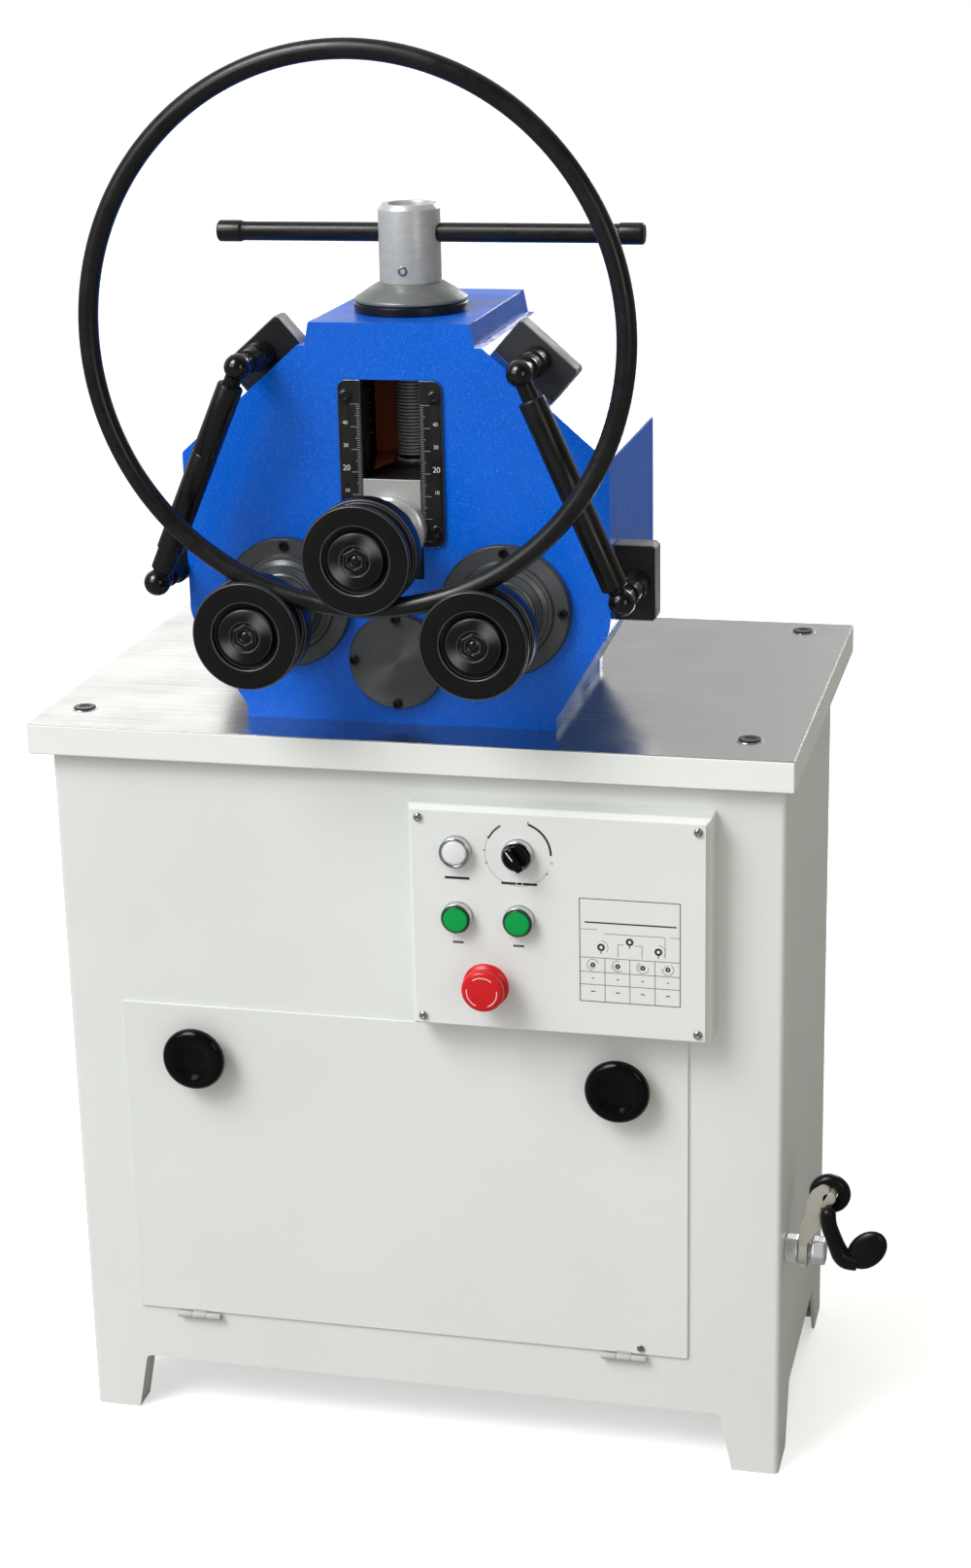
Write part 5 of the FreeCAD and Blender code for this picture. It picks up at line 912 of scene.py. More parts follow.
button = {
    "bezel": [(11.1, 0), (14.2, 0), (14.2, 1.4), (13.7, 1.9), (13.7, 7.2), (13.9, 7.6),
              (13.8, 8.7), (13.1, 9.2), (12, 9.1), (11.3, 8.4), (11.1, 0)],
    "wideBezel": [(12.25, 0), (14.2, 0), (14.2, 1.4), (13.7, 1.9), (13.7, 7.2), (13.8, 7.8),
                  (13.5, 8.8), (12.8, 9.1), (12.35, 8.8), (12.25, 0)],
    "lens": [(0, 0), (11, 0), (11, 8.3), (10.5, 9.1), (9, 9.5), (0, 9.8)],
    "cap": [(0, 3.5), (12, 3.5), (12, 9.6), (11.6, 10.5), (10.9, 10.9), (0, 11)],
    "face": [(0, 10.8), (10.8, 10.8), (10.7, 11), (10.2, 11.08), (0, 11.12)],
    "plunger": [(0, 4.5), (10.6, 4.5), (10.6, 13.3), (0, 13.3)],
    "stop": [(0, 0), (18.5, 0), (20.4, 0.6), (21, 2), (20.7, 3.8), (19, 5), (16.6, 6.2),
             (16, 8.4), (17.6, 10.2), (19.2, 11.8), (19.2, 15.6), (18.4, 17.3), (16.8, 18.4),
             (14, 18.9), (0, 19)],
    "dial": [(0, 1), (10.6, 1), (10.6, 9.4), (11.5, 9.4), (11.6, 12.4), (10.8, 13.4), (0, 13.4)],
    "grip": [(-11, -3.6), (9, -3.9), (12.2, -2), (12.2, 2), (9, 3.9), (-11, 3.6)],
    "gripLean": -127,
    # how far each stands off the panel
    "stopOff": 13.6,
    "markOff": 32.5,
    "gripOff": 12.6,
    "lineOff": 22.1,
    "gripDepth": 9.5,
    "stopMarks": (50, 170, 292),
}


def buildControls():
    face = controls["face"]
    bm = bmesh.new()
    spots = {}
    for key in ("lamp", "dial", "forward", "reverse", "stop"):
        x, z = controls[key]
        spots[key] = (x, face, z)
        profile = button["wideBezel" if key in ("forward", "reverse") else "bezel"]
        spinProfile(bm, profile, placeAt(x, face, z, toFront), 64, 0.15)
    finishPiece("controlBezels", bm, brightSteel, "control_bezels", 40)
    turnedPiece("lampLens", button["lens"], spots["lamp"], milkLens, "lamp_lens",
                64, 0, angle=60)
    for key in ("forward", "reverse"):
        node = f"{key}_button"
        turnedPiece(f"{key}ButtonCap", button["cap"], spots[key], [greenRim, greenCap], node,
                    64, 0, body=node, angle=50)
        turnedPiece(f"{key}ButtonFace", button["face"], spots[key], greenCap, steps=48, soften=0,
                    body=node)
    x, y, z = spots["stop"]
    turnedPiece("stopPlunger", button["plunger"], (x, y, z), greyPlastic, "stop_plunger",
                48, 0.3, body="stop_plunger")
    turnedPiece("stopHead", button["stop"], (x, y - button["stopOff"], z), redCap, "stop_head",
                72, 0, body="stop_head", angle=60)
    bm = bmesh.new()
    for start in button["stopMarks"]:
        inkArc(bm, x, z, y - button["markOff"], 13.7, 0.7, start, 76, 0.18, 24)
    finishPiece("stopMarks", bm, whiteInk, body="stop_head")
    x, y, z = spots["dial"]
    turnedPiece("dialBody", button["dial"], (x, y, z), glossBlack, "speed_dial",
                56, body="speed_dial")
    lean = Matrix.Rotation(math.radians(button["gripLean"]), 4, "Y")
    platePiece("dialGrip", button["grip"], 0, -button["gripDepth"], glossBlack, rounding=1,
               segments=3, body="speed_dial", rounds={0: 2.5, 5: 2.5, 2: 1.2, 3: 1.2},
               at=placeAt(x, y - button["gripOff"], z, lean))
    bm = bmesh.new()
    inkBar(bm, (1, 0), (10.6, 0), 0, 1.1, 0.2)
    bmesh.ops.transform(bm, matrix=placeAt(x, y - button["lineOff"], z, lean), verts=bm.verts)
    finishPiece("dialLine", bm, whiteInk, body="speed_dial")


label = {
    # radius, width, start, sweep and steps of the arcs about the dial
    "arcs": [(29.6, 1.6, 122, 32, 18), (29, 2, 0, 72, 30)]
            + [(30.6, 2.2, mark, 1.4, 2) for mark in (-35, -14, 72, 152, 176, 198)],
    # left, right, height and width of the level bars
    "bars": [(39, 61.5, 585.3, 2.3), (90.2, 103.5, 583.2, 2.2), (104.3, 108.6, 583.2, 2.2),
             (109.4, 122.4, 583.2, 2.2), (164.5, 246, 551.5, 1.3)]
            + [(left + step * 2, left + 1.7 + step * 2, 524.7, 2)
               for left in (45, 100) for step in range(5)],
    "knobs": [(179, 528.5), (204.5, 535), (230, 527.5)],
    "knobRadius": 3.4,
    # the diagram: a plain table of four cells with a few lines over it, without words
    "frame": (160, 477, 249.3, 573.5),
    "rows": (518.5, 505, 493),
    "columns": (182.3, 204.6, 227),
    "cellX": [171.5 + index * 22.3 for index in range(4)],
    "cellZ": 511.5,
    # half length, height and width of the dashes below each cell's circle
    "dashes": [(1, 499, 0.8), (1.8, 486.5, 0.9)],
    "lines": [(194, 520.5, 194, 532), (194, 532, 199.5, 532), (209.5, 532, 215.5, 532),
              (215.5, 532, 215.5, 520.5), (182, 541.5, 236, 541.5), (236, 541.5, 236, 522),
              (160, 545, 176, 545), (240, 541.5, 249, 541.5)],
}


def buildPanelMarks():
    face = controls["face"]
    x, z = controls["dial"]
    bm = bmesh.new()
    for radius, width, start, sweep, steps in label["arcs"]:
        inkArc(bm, x, z, face, radius, width, start, sweep, 0.1, steps)
    bars = list(label["bars"])
    for px in label["cellX"]:
        bars += [(px - half, px + half, height, width) for half, height, width in label["dashes"]]
        inkArc(bm, px, label["cellZ"], face, 1.5, 1.6, 0, 360, 0.1, 16)
    for left, right, height, width in bars:
        inkBar(bm, (left, height), (right, height), face, width)
    radius = label["knobRadius"]
    for px, pz in label["knobs"]:
        inkArc(bm, px, pz, face, radius - 0.9, 1.9, 0, 360, 0.1, 24)
        inkBar(bm, (px, pz - radius), (px, pz - radius - 2.6), face, 0.9)
    finishPiece("panelInk", bm, darkInk)
    bm = bmesh.new()
    inkArc(bm, x, z, face, 30.2, 0.6, 155, 180, 0.08, 40)
    finishPiece("dialCircle", bm, paleInk)


def buildDiagram():
    face = controls["face"]
    left, low, right, _ = label["frame"]
    corners = rectangle(*label["frame"])
    lines = [(*corners[index - 1], *corners[index], 0.75) for index in range(4)]
    lines += [(left, z, right, z, 0.5) for z in label["rows"]]
    lines += [(x, low, x, label["rows"][0], 0.5) for x in label["columns"]]
    lines += [(*ends, 0.4) for ends in label["lines"]]
    bm = bmesh.new()
    for x0, z0, x1, z1, width in lines:
        inkBar(bm, (x0, z0), (x1, z1), face, width)
    for x, z in label["knobs"][::2]:
        inkArc(bm, x, z, face, 6.2, 0.4, -40, 130, 0.08, 16)
    for index, x in enumerate(label["cellX"]):
        inkArc(bm, x, label["cellZ"], face, 5.2, 0.45, 20 + index * 50, 250, 0.08, 24)
        inkArc(bm, x, label["cellZ"], face, 3.6, 0.35, 200 - index * 40, 120, 0.08, 16)
    finishPiece("panelDiagram", bm, greyInk)


buildControlBox()
buildControls()
buildPanelMarks()
buildDiagram()
print("control panel built")


# ---- rolling head ----

head = {
    "x": -18,
    "front": -123,
    "plateBack": -103,
    "coverFront": 78,
    "back": 92,
    "outline": [(143.5, 702), (143.5, 713), (193, 795), (193, 944), (83, 1040.5)],
    "tab": [(76, 1040.5), (72, 1061)],
    "slot": (-26.25, 836, 26.25, 1012),
    "lowRound": 28,
    "highRound": 4,
    "shadedBelow": 790,
}


def shifted(points):
    return [(x + head["x"], z) for x, z in points]


def buildHead():
    whole = shifted(mirrored(head["outline"] + head["tab"]))
    front, plateBack, coverFront, back = (head[key] for key in ("front", "plateBack",
                                                                "coverFront", "back"))
    low, high = head["lowRound"], head["highRound"]
    rounds = {2: low, 3: high, len(whole) - 3: low, len(whole) - 4: high}
    # the lower side faces of the front plate take the darker blue: painted shade
    blues = [bluePaint, blueShadedUnder]
    platePiece("headFrontPlate", whole, front, plateBack, blues, "head_front_plate",
               "blue_paint", rounds=rounds, windows=[shifted(rectangle(*head["slot"]))], side=1,
               sideTop=head["shadedBelow"])
    platePiece("headRearCover", whole, coverFront, back, bluePaint, "head_rear_cover",
               "blue_paint", rounds=rounds)
    bm = bmesh.new()
    points = shifted(mirrored(head["outline"]))
    verts = [bm.verts.new((x * mm, plateBack * mm, z * mm)) for x, z in points]
    for pair in zip(verts, verts[1:]):
        bm.edges.new(pair)
    roundCorners(bm, [(verts[2], low), (verts[3], high), (verts[-3], low), (verts[-4], high)])
    pushOut(bm, bmesh.ops.extrude_edge_only(bm, edges=bm.edges[:]), 0, coverFront - plateBack, 0)
    # faces low on the housing take the darker blue: painted shade
    for face in bm.faces:
        face.material_index = 1 if face.calc_center_median().z < head["shadedBelow"] * mm else 0
    finishPiece("headHousing", bm, blues, "head_housing", 8,
                modifiers=[sheetWall(8), edgeRound(0.3)])
    platePiece("headTopSlab", shifted(mirrored(head["tab"])), plateBack, coverFront, bluePaint,
               "head_top_slab", "blue_paint", 0.8)


flange = {
    "profile": [(22.5, 23), (22.5, -2), (59, -2), (59, 6.6), (58, 8), (44.5, 8), (43.6, 9.8),
                (40, 10.2), (35.5, 13.2), (32, 18.5), (31, 20.6), (28.5, 22.6), (22.5, 23)],
    "cover": [(0, 0), (44, 0), (44, 5.2), (43.2, 6), (0, 6)],
    # circle of the screws, and how far their seat stands off the plate
    "screws": {"lowerLeft": (52.5, 8), "lowerRight": (52.5, 8), "pinion": (39, 6)},
}


def buildFlanges():
    for key, node in (("lowerLeft", "bearing_flanges"), ("lowerRight", None)):
        x, z = rollCentres[key]
        turnedPiece(f"{key}Flange", flange["profile"], (x, head["front"], z),
                    [flangeFinish[key], darkEdge], node, 96, 0.35, 1)
    x, z = rollCentres["pinion"]
    turnedPiece("centreCover", flange["cover"], (x, head["front"], z),
                [flangeFinish["pinion"], darkEdge], "centre_cover", 96, 0.3, 1)
    spots = []
    for key, (circle, stand) in flange["screws"].items():
        x, z = rollCentres[key]
        spots += [(x + i * circle, head["front"] - stand, z + j * circle)
                  for i, j in ((0, 1), (1, 0), (0, -1), (-1, 0))]
    socketScrews("headScrews", spots, blackSteel, "head_screws")
    y = head["front"] - strip["thick"]
    turnedPiece("stripScrews", strip["screw"],
                [(head["x"] + x, y, z) for x in (-39.8, 39.8) for z in strip["screwZ"]],
                [ballBlack, rollEdgeHighlight], steps=32, soften=0.15, mark=1)


strip = {
    "inner": 26.25,
    "outer": 46.75,
    "low": 866,
    "high": 1012,
    "thick": 3,
    "corner": 8,
    "tickPitch": 2,
    "ticks": 61,
    "numberX": 40.6,
    "screwZ": (998, 880),
    "screw": [(0, 0), (6, 0), (6, 1.2), (5.2, 2.3), (3.8, 2.9), (2.4, 3), (2.1, 1.6), (0, 1.6)],
}


def buildScaleStrips():
    y = head["front"] - strip["thick"]
    inner, low, corner = strip["inner"], strip["low"], strip["corner"]
    ticks, numbers = bmesh.new(), bmesh.new()
    for side, word, node in ((-1, "left", "scale_strips"), (1, "right", None)):
        outline = rectangle(side * inner, low, side * strip["outer"], strip["high"])
        platePiece(f"{word}ScaleStrip", shifted(outline), y, head["front"],
                   [stripMetal, plainSteel], node, "turned_steel", mark=1,
                   rounds={1: corner, 2: corner})
        for index in range(strip["ticks"]):
            z = low + 5 + index * strip["tickPitch"]
            length = 8.5 if index % 10 == 0 else 4.4 if index % 5 == 0 else 2.8
            start = head["x"] + side * (inner + 1)
            inkBar(ticks, (start, z), (start + side * length, z), y, 0.38)
        for number in (1, 2, 3, 4):
            inkNumber(numbers, f"{number}0", head["x"] + side * strip["numberX"],
                      low + 28.5 + number * 20, y - 0.05, 7 if number == 2 else 4.6)
    finishPiece("scaleTicks", ticks, paleInk)
    finishPiece("scaleNumbers", numbers, whiteInk)


def buildSlotLiner():
    left, low, right, high = head["slot"]
    gap, depth = 0.05, 0.05
    outline = rectangle(left + gap, low + gap, right - gap, high - gap)
    inner = rectangle((left + gap) * 0.9925, low + 0.4, (right - gap) * 0.9925, high - 0.4)
    platePiece("slotLiner", shifted(outline), head["front"] + depth, head["plateBack"] - depth,
               greaseAndShadeBlack, rounding=0, windows=[shifted(inner)])


buildHead()
buildFlanges()
buildScaleStrips()
buildSlotLiner()
print("rolling head built")


# ---- rolls and shafts ----

roll = {
    "profile": [(15.1, 0), (30, 0), (45.6, 2.6), (47.5, 4.4), (47.5, 20.2), (46.7, 21.1),
                (44.6, 21.1), (43.3, 23.4), (41.2, 25.8), (38.6, 28), (36.4, 29.4), (35.5, 30),
                (36.4, 30.7), (38.6, 32.1), (41.2, 34.3), (43.3, 36.7), (44.6, 38.9),
                (46.7, 38.9), (47.5, 39.8), (47.5, 43.2), (46.3, 45), (30.1, 45), (29.4, 44.3),
                (29.4, 38.4), (15.1, 38.4), (15.1, 0)],
    "shaft": [(22, -14), (22.6, -12.2), (24.6, -10.4), (26, -7.5), (26, -3), (24.8, -0.6),
              (15, 0), (15, 38), (0, 38)],
    "cap": [(15, 39), (24, 39), (24, 43.6), (23.4, 44.6), (22.4, 45.1), (13.6, 46.4),
            (13.1, 46.2), (12.9, 44), (0, 44)],
    "screwEnd": [(0, 0), (4.2, 0), (4.2, 0.8), (3.4, 1.5), (1.8, 1.9), (0, 2)],
    "face": -205,
    "hexAt": 43.6,
}


def hexBoss(bm, x, y, z, across, height):
    matrix = placeAt(x, y, z, toFront) @ Matrix.Translation((0, 0, height / 2 * mm))
    made = bmesh.ops.create_cone(bm, cap_ends=True, segments=6, radius1=across / hexRoot * mm,
                                 radius2=across / hexRoot * mm, depth=height * mm,
                                 matrix=matrix)
    top = max((f for f in bm.faces if all(v in made["verts"] for v in f.verts)),
              key=lambda f: -f.calc_center_median().y)
    for thickness, depth in ((1.6, 0.7), (2.6, 0), (1.4, -2.4)):
        bmesh.ops.inset_individual(bm, faces=[top], thickness=thickness * mm, depth=depth * mm)


def buildRoll(key, word, shaftBack):
    x, z = rollCentres[key]
    at = (x, roll["face"], z)
    body = f"{word}_roller"
    turnedPiece(f"{word}Roll", roll["profile"], at, [rollFinish[key], rollEdgeHighlight], f"{word}_roll",
                112, 0.5, 1, body=body, angle=28)
    turnedPiece(f"{word}Shaft", [(0, shaftBack), (22, shaftBack)] + roll["shaft"], at,
                flangeFinish.get(key, plainSteel), f"{word}_shaft", 64, 0.5,
                body=body)
    turnedPiece(f"{word}Cap", roll["cap"], at, [capFinish[key], rollEdgeHighlight], f"{word}_cap",
                72, 0.3, 1, body=body, angle=28)
    front = roll["face"] - roll["hexAt"]
    bm = bmesh.new()
    hexBoss(bm, x, front, z, 20, 1.9)
    finishPiece(f"{word}Hex", bm, [rollFinish[key], rollEdgeHighlight], angle=20, body=body,
                modifiers=[edgeRound(0.4, 2, 1)])
    turnedPiece(f"{word}ScrewEnd", roll["screwEnd"], (x, front, z), ballBlack, steps=28,
                soften=0, body=body)


ring = {"centre": (-18, -235, 1066.6), "middle": 229.7, "bar": 8.5}


def buildRing():
    bm = bmesh.new()
    ringShape(bm, ring["centre"], ring["middle"], ring["bar"], 28, 200)
    finishPiece("bentRing", bm, blackBar, "workpiece_ring", 60, "ring")


buildRoll("lowerLeft", "lower_left", -292)
buildRoll("lowerRight", "lower_right", -292)
buildRoll("upper", "upper", -188)
buildRing()
print("rolls and ring built")


# ---- slide and feed screw ----

slide = {
    # boxes are two corners each, with X from the middle of the head
    "block": ((-44, -102.7, 837.2), (44, -15.7, 925.2)),
    "neck": ((-25.95, -124.3, 837.2), (25.95, -100, 925.2)),
    "face": ((-25.95, -126.5, 872), (25.95, -124.4, 925.2)),
    "keeper": ((-24, -68, 925.2), (24, -16, 928)),
    "keeperLip": ((-6, -25, 925.2), (24, -16, 939.2)),
    "leftWay": ((-60.3, -102.7, 835.5), (-44.3, -32.7, 1031.5)),
    "rightWay": ((44.3, -102.7, 835.5), (60.3, -32.7, 1031.5)),
    "innerShadePlate": ((-62, -12, 918), (10, -10, 1012)),
    "primerStrip": ((-45, -12.4, 922), (-24.5, -12.05, 1008)),
    "front": -126.5,
    "boss": [(22.6, -2), (31, -2), (31, 8.6), (30.2, 10.4), (27.6, 11.9), (22.6, 12),
             (22.6, -2)],
    "patch": [(-23.5, -98), (-14, -60), (-23.5, -16.2), (-43, -16.2)],
    "patchZ": (928.05, 0.25),
    "paintedGlintCount": 12,
    "paintedGlintAt": (-56, -12, 931),
}


def headBox(key):
    return [(x + head["x"], y, z) for x, y, z in slide[key]]


def carriagePiece(name, keys, node, rounding):
    bm = bmesh.new()
    for key in keys:
        boxShape(bm, *headBox(key))
    finishPiece(name, bm, blackSteel, node, body="carriage",
                modifiers=[edgeRound(rounding)])


def buildSlide():
    x = head["x"]
    # block and neck in black steel, with the light grey face only on the neck's upper front: the
    # black below it is painted shade
    carriagePiece("carriageShadedBlock", ("block", "neck"), "slide_carriage", 0.8)
    boxPiece("carriageFace", *headBox("face"), carriageSteel, rounding=0.5, body="carriage")
    turnedPiece("carriageBoss", slide["boss"], (x, slide["front"], rollCentres["upper"][1]),
                bossSteel, steps=64, soften=0.3, body="carriage")
    carriagePiece("keeperPlate", ("keeper", "keeperLip"), "keeper_plate", 0.4)
    bm = bmesh.new()
    z, thick = slide["patchZ"]
    patch = bm.faces.new([bm.verts.new(((x + px) * mm, py * mm, z * mm))
                          for px, py in slide["patch"]])
    pushOut(bm, bmesh.ops.extrude_face_region(bm, geom=[patch]), 0, 0, thick)
    finishPiece("primerPatch", bm, insidePaint, body="carriage")
    boxPiece("slideWay_0", *headBox("leftWay"), greaseAndShadeBlack, "slide_ways", rounding=0.5)
    boxPiece("slideWay_2", *headBox("rightWay"), greaseAndShadeBlack, rounding=0.5)


def buildSlotBack():
    # a near-black plate at the back of the cavity behind the slot: painted shade inside the head
    boxPiece("innerShadePlate", *headBox("innerShadePlate"), greaseAndShadeBlack, rounding=0.3)
    boxPiece("primerStrip", *headBox("primerStrip"), insidePaint, rounding=0.1)
    # slanted white bars on that plate: painted glints, highlights on greasy steel
    x, y, z = slide["paintedGlintAt"]
    bm = bmesh.new()
    for index in range(slide["paintedGlintCount"]):
        low = z + index * 5.6
        left = head["x"] + x + (index * 7 % 5) * 0.9
        inkBar(bm, (left, low), (left + 4.5, low + 2.8), y, 0.9, 0.3)
    finishPiece("paintedGlints", bm, whiteInk)


screw = {
    "y": -42,
    "pitch": 3,
    "low": 930,
    "high": 1068,
    "tooth": [(14.4, 0), (14.4, 0.7), (16, 1.2), (16, 2.5), (14.4, 3)],
    "turnSteps": 30,
    "plain": ([(0, 926), (17, 926), (17, 929.5), (0, 929.5)],
              [(0, 1066), (16, 1066), (16, 1118.3), (0, 1118.3)]),
    "core": [(0, 929.4), (14.6, 929.4), (14.6, 1066.1), (0, 1066.1)],
}


def buildScrew():
    x, y, pitch = head["x"], screw["y"], screw["pitch"]
    turns, steps = round((screw["high"] - screw["low"]) / pitch), screw["turnSteps"]
    bm = bmesh.new()
    verts = [bm.verts.new((r * mm, 0, h * mm)) for r, h in screw["tooth"]]
    spinGeom(bm, verts + [bm.edges.new(pair) for pair in zip(verts, verts[1:])], steps * turns,
             angle=math.tau * turns, merge=False, rise=pitch * mm / steps)
    bmesh.ops.remove_doubles(bm, verts=bm.verts, dist=2e-6)
    bmesh.ops.holes_fill(bm, edges=[e for e in bm.edges if e.is_boundary], sides=0)
    bmesh.ops.transform(bm, matrix=placeAt(x, y, screw["low"]), verts=bm.verts)
    for profile in screw["plain"]:
        spinProfile(bm, profile, placeAt(x, y, 0), 48)
    finishPiece("feedScrew", bm, threadSteel, "spindle_screw", 40, "spindle")
    # a near-black core that shows between the thread's teeth: painted shade in the thread roots
    turnedPiece("shadedScrewCore", screw["core"], (x, y, 0), greaseAndShadeBlack, steps=48, soften=0,
                turn=upright, body="spindle")


hub = {
    "nut": [(16.1, -34), (29, -34), (29, 0), (51, 0), (51, 7.2), (49.6, 8.5), (16.1, 8.5),
            (16.1, -34)],
    "cone": [(16.5, 0), (49.6, 0), (50.3, 0.8), (50.3, 2.4), (49.4, 3.6), (30.4, 15.4),
             (28.2, 16), (16.5, 16), (16.5, 0)],
    "tube": [(16.5, 16), (27.1, 16), (27.5, 16.8), (27.5, 79.8), (24.6, 84.1), (23.8, 84.5),
             (21.2, 84.5), (20.4, 83.8), (20, 82.6), (20, 48.5), (16.5, 48.5), (16.5, 16)],
    "setScrewAt": (27.2, 1098),
    "setScrew": [(0, 0), (4.4, 0), (4.4, 0.5), (3.6, 0.9), (2.6, 0.9), (2.4, 0.1), (0, 0.1)],
    "barHoleShade": [(8.6, -26.8), (9.7, -26.8), (9.7, 26.8), (8.6, 26.8), (8.6, -26.8)],
    "nutTop": 1061,
    "low": 1069.8,
    "barZ": 1128.8,
    "barShift": 17,
    "barEnd": [(8.4, 165), (8.5, 170), (9.5, 172), (9.5, 190), (9.3, 191.8), (8, 193), (0, 193)],
}


def buildHub():
    x, y = head["x"], screw["y"]
    turnedPiece("nutRing", hub["nut"], (x, y, hub["nutTop"]), [blackSteel, darkEdge],
                "spindle_nut", 96, 0.3, turn=upright)
    at = (x, y, hub["low"])
    turnedPiece("hubCone", hub["cone"], at, [coneCast, darkEdge], "spindle_hub",
                96, 0.25, turn=upright, body="spindle")
    turnedPiece("hubTube", hub["tube"], at, [zincHub, hubLip], steps=80, soften=0.35,
                turn=upright, body="spindle")
    off, z = hub["setScrewAt"]
    turnedPiece("hubSetScrew", hub["setScrew"], (x, y - off, z), plainSteel, steps=24, soften=0,
                body="spindle")
    # a near-black tube through the hub at the bar: painted shade inside the bar's hole
    turnedPiece("barHoleShade", hub["barHoleShade"], (x, y, hub["barZ"]), greaseAndShadeBlack, steps=40, soften=0,
                turn=toRight, body="spindle")
    bar = [(r, -h) for r, h in reversed(hub["barEnd"])] + hub["barEnd"]
    turnedPiece("tommyBar", bar, (x + hub["barShift"], y, hub["barZ"]), blackBar, "tommy_bar",
                48, 0.3, turn=toRight, body="tommy_bar")


buildSlide()
buildSlotBack()
buildScrew()
buildHub()
print("slide, screw and hub built")


# ---- side guides ----

guide = {
    "ballY": -175,
    "bracketBack": -83,
    "bracketFront": -105,
    "ball": 11.75,
    # shank, a collar with three grooves, neck and rounded end
    "stud": [(0, -22), (6, -22), (6, 0), (12.2, 0)]
            + [(r, h + groove * 6.4) for groove in range(3)
               for r, h in ((12.2, 5), (11.6, 5.4), (11.6, 6.2), (12.2, 6.6))]
            + [(12.2, 23.6), (11.2, 25), (10.2, 25.4), (10.2, 38), (9.7, 38.3), (9.7, 39.1),
               (10.2, 39.4), (10.2, 44), (8.2, 45.8), (8, 50), (8.6, 52), (8.6, 56), (7.4, 58),
               (0, 62)],
    # balls: upper and lower; brackets: width, height and lean about their stud
    "left": {
        "balls": [(-138.18, 1029.56), (-222, 837.5)],
        "brackets": [((-34, 34), (-16.3, 17.2), -41.26), ((-11.5, 34.5), (-11, 13), -90)],
        "faces": (bracketBlack, bracketBlack),
        "sleeve": [(7.6, 12), (8.6, 12), (10, 13.5), (10, 32), (11.5, 33), (11.5, 126),
                   (11.1, 126.4), (11.1, 127.2), (11.5, 127.6), (11.5, 191.4), (10.1, 192.9),
                   (7.6, 192.9), (7.6, 12)],
    },
    "right": {
        "balls": [(109.13, 1028.39), (195, 835)],
        "brackets": [((-34, 34), (-20, 17.5), 41.26), ((-34, 34), (-20, 17.5), 90)],
        "faces": (bracketGrey, bracketBlack),
        "sleeve": [(7.6, 13), (10.3, 13), (11.75, 14.5), (11.75, 187.1), (10.3, 188.6),
                   (7.6, 188.6), (7.6, 13)],
    },
}


def bracketOutline(width, height, edge=3):
    (left, right), (low, high) = width, height
    return [(left, low), (right, low), (right, high - edge), (right - edge, high),
            (left + edge, high), (left, high - edge)]


def buildGuide(word):
    # the left upper bracket and stud stand in for all four
    own = guide[word]
    front = guide["bracketFront"]
    for index, part in enumerate(("Upper", "Lower")):
        x, z = own["balls"][index]
        width, height, lean = own["brackets"][index]
        first = word == "left" and index == 0
        turn = Matrix.Rotation(math.radians(lean), 4, "Y")
        platePiece(f"{word}{part}Bracket", bracketOutline(width, height), front,
                   guide["bracketBack"], [own["faces"][index], bracketEdge],
                   "guide_brackets" if first else None, "turned_steel", 0.9, mark=1,
                   at=placeAt(x, 0, z, turn), side=1)
        turnedPiece(f"{word}{part}Stud", guide["stud"], (x, front, z), studBlack,
                    "guide_studs" if first else None, 40, 0.2)
    high, low = (Vector((x, guide["ballY"], z)) for x, z in own["balls"])
    reach = (high - low).length
    turn = (high - low).to_track_quat("Z", "Y").to_matrix().to_4x4()
    bm = bmesh.new()
    for height in (0, reach):
        matrix = placeAt(*low, turn) @ Matrix.Translation((0, 0, height * mm))
        bmesh.ops.create_uvsphere(bm, u_segments=40, v_segments=24, radius=guide["ball"] * mm,
                                  matrix=matrix)
    finishPiece(f"{word}GuideBalls", bm, ballBlack, "guide_rods" if word == "left" else None,
                60)
    turnedPiece(f"{word}GuideRod", [(0, 8), (7.5, 8), (7.5, reach - 8), (0, reach - 8)], low,
                studBlack, steps=36, soften=0, turn=turn)
    sleeve = f"{word}_guide_sleeve"
    turnedPiece(f"{word}GuideSleeve", own["sleeve"], low, sleeveBlack, sleeve, 64,
                0.3, turn=turn, body=sleeve)


buildGuide("left")
buildGuide("right")
print("side guides built")


# ---- drive behind the head ----

drive = {
    "case": ((-78, 100, 708), (42, 240, 898)),
    "flange": [(0, 0), (57, 0), (57, 6.8), (55.8, 8), (0, 8)],
    "hub": [(0, 0), (38, 0), (38, 4.8), (37, 6), (24, 6), (23, 1.5), (0, 1.5)],
    "hubScrewCircle": 31,
    "motorAt": (-78, 170, 824.06),
    "motor": [(0, 0), (69.5, 0), (70, 0.6), (70, 9.4), (69, 10), (58, 14), (56, 18), (56, 158),
              (60, 160), (63.6, 161), (63.6, 184), (60, 191), (54, 194), (0, 194)],
    "fins": 26,
    "fin": ((-156, -1.3, 54), (-20, 1.3, 62)),
    "terminalBox": ((-178, 140, 880.06), (-118, 200, 910.06)),
    "fanX": -272,
    "fanRings": (12, 20, 28, 36, 44),
}


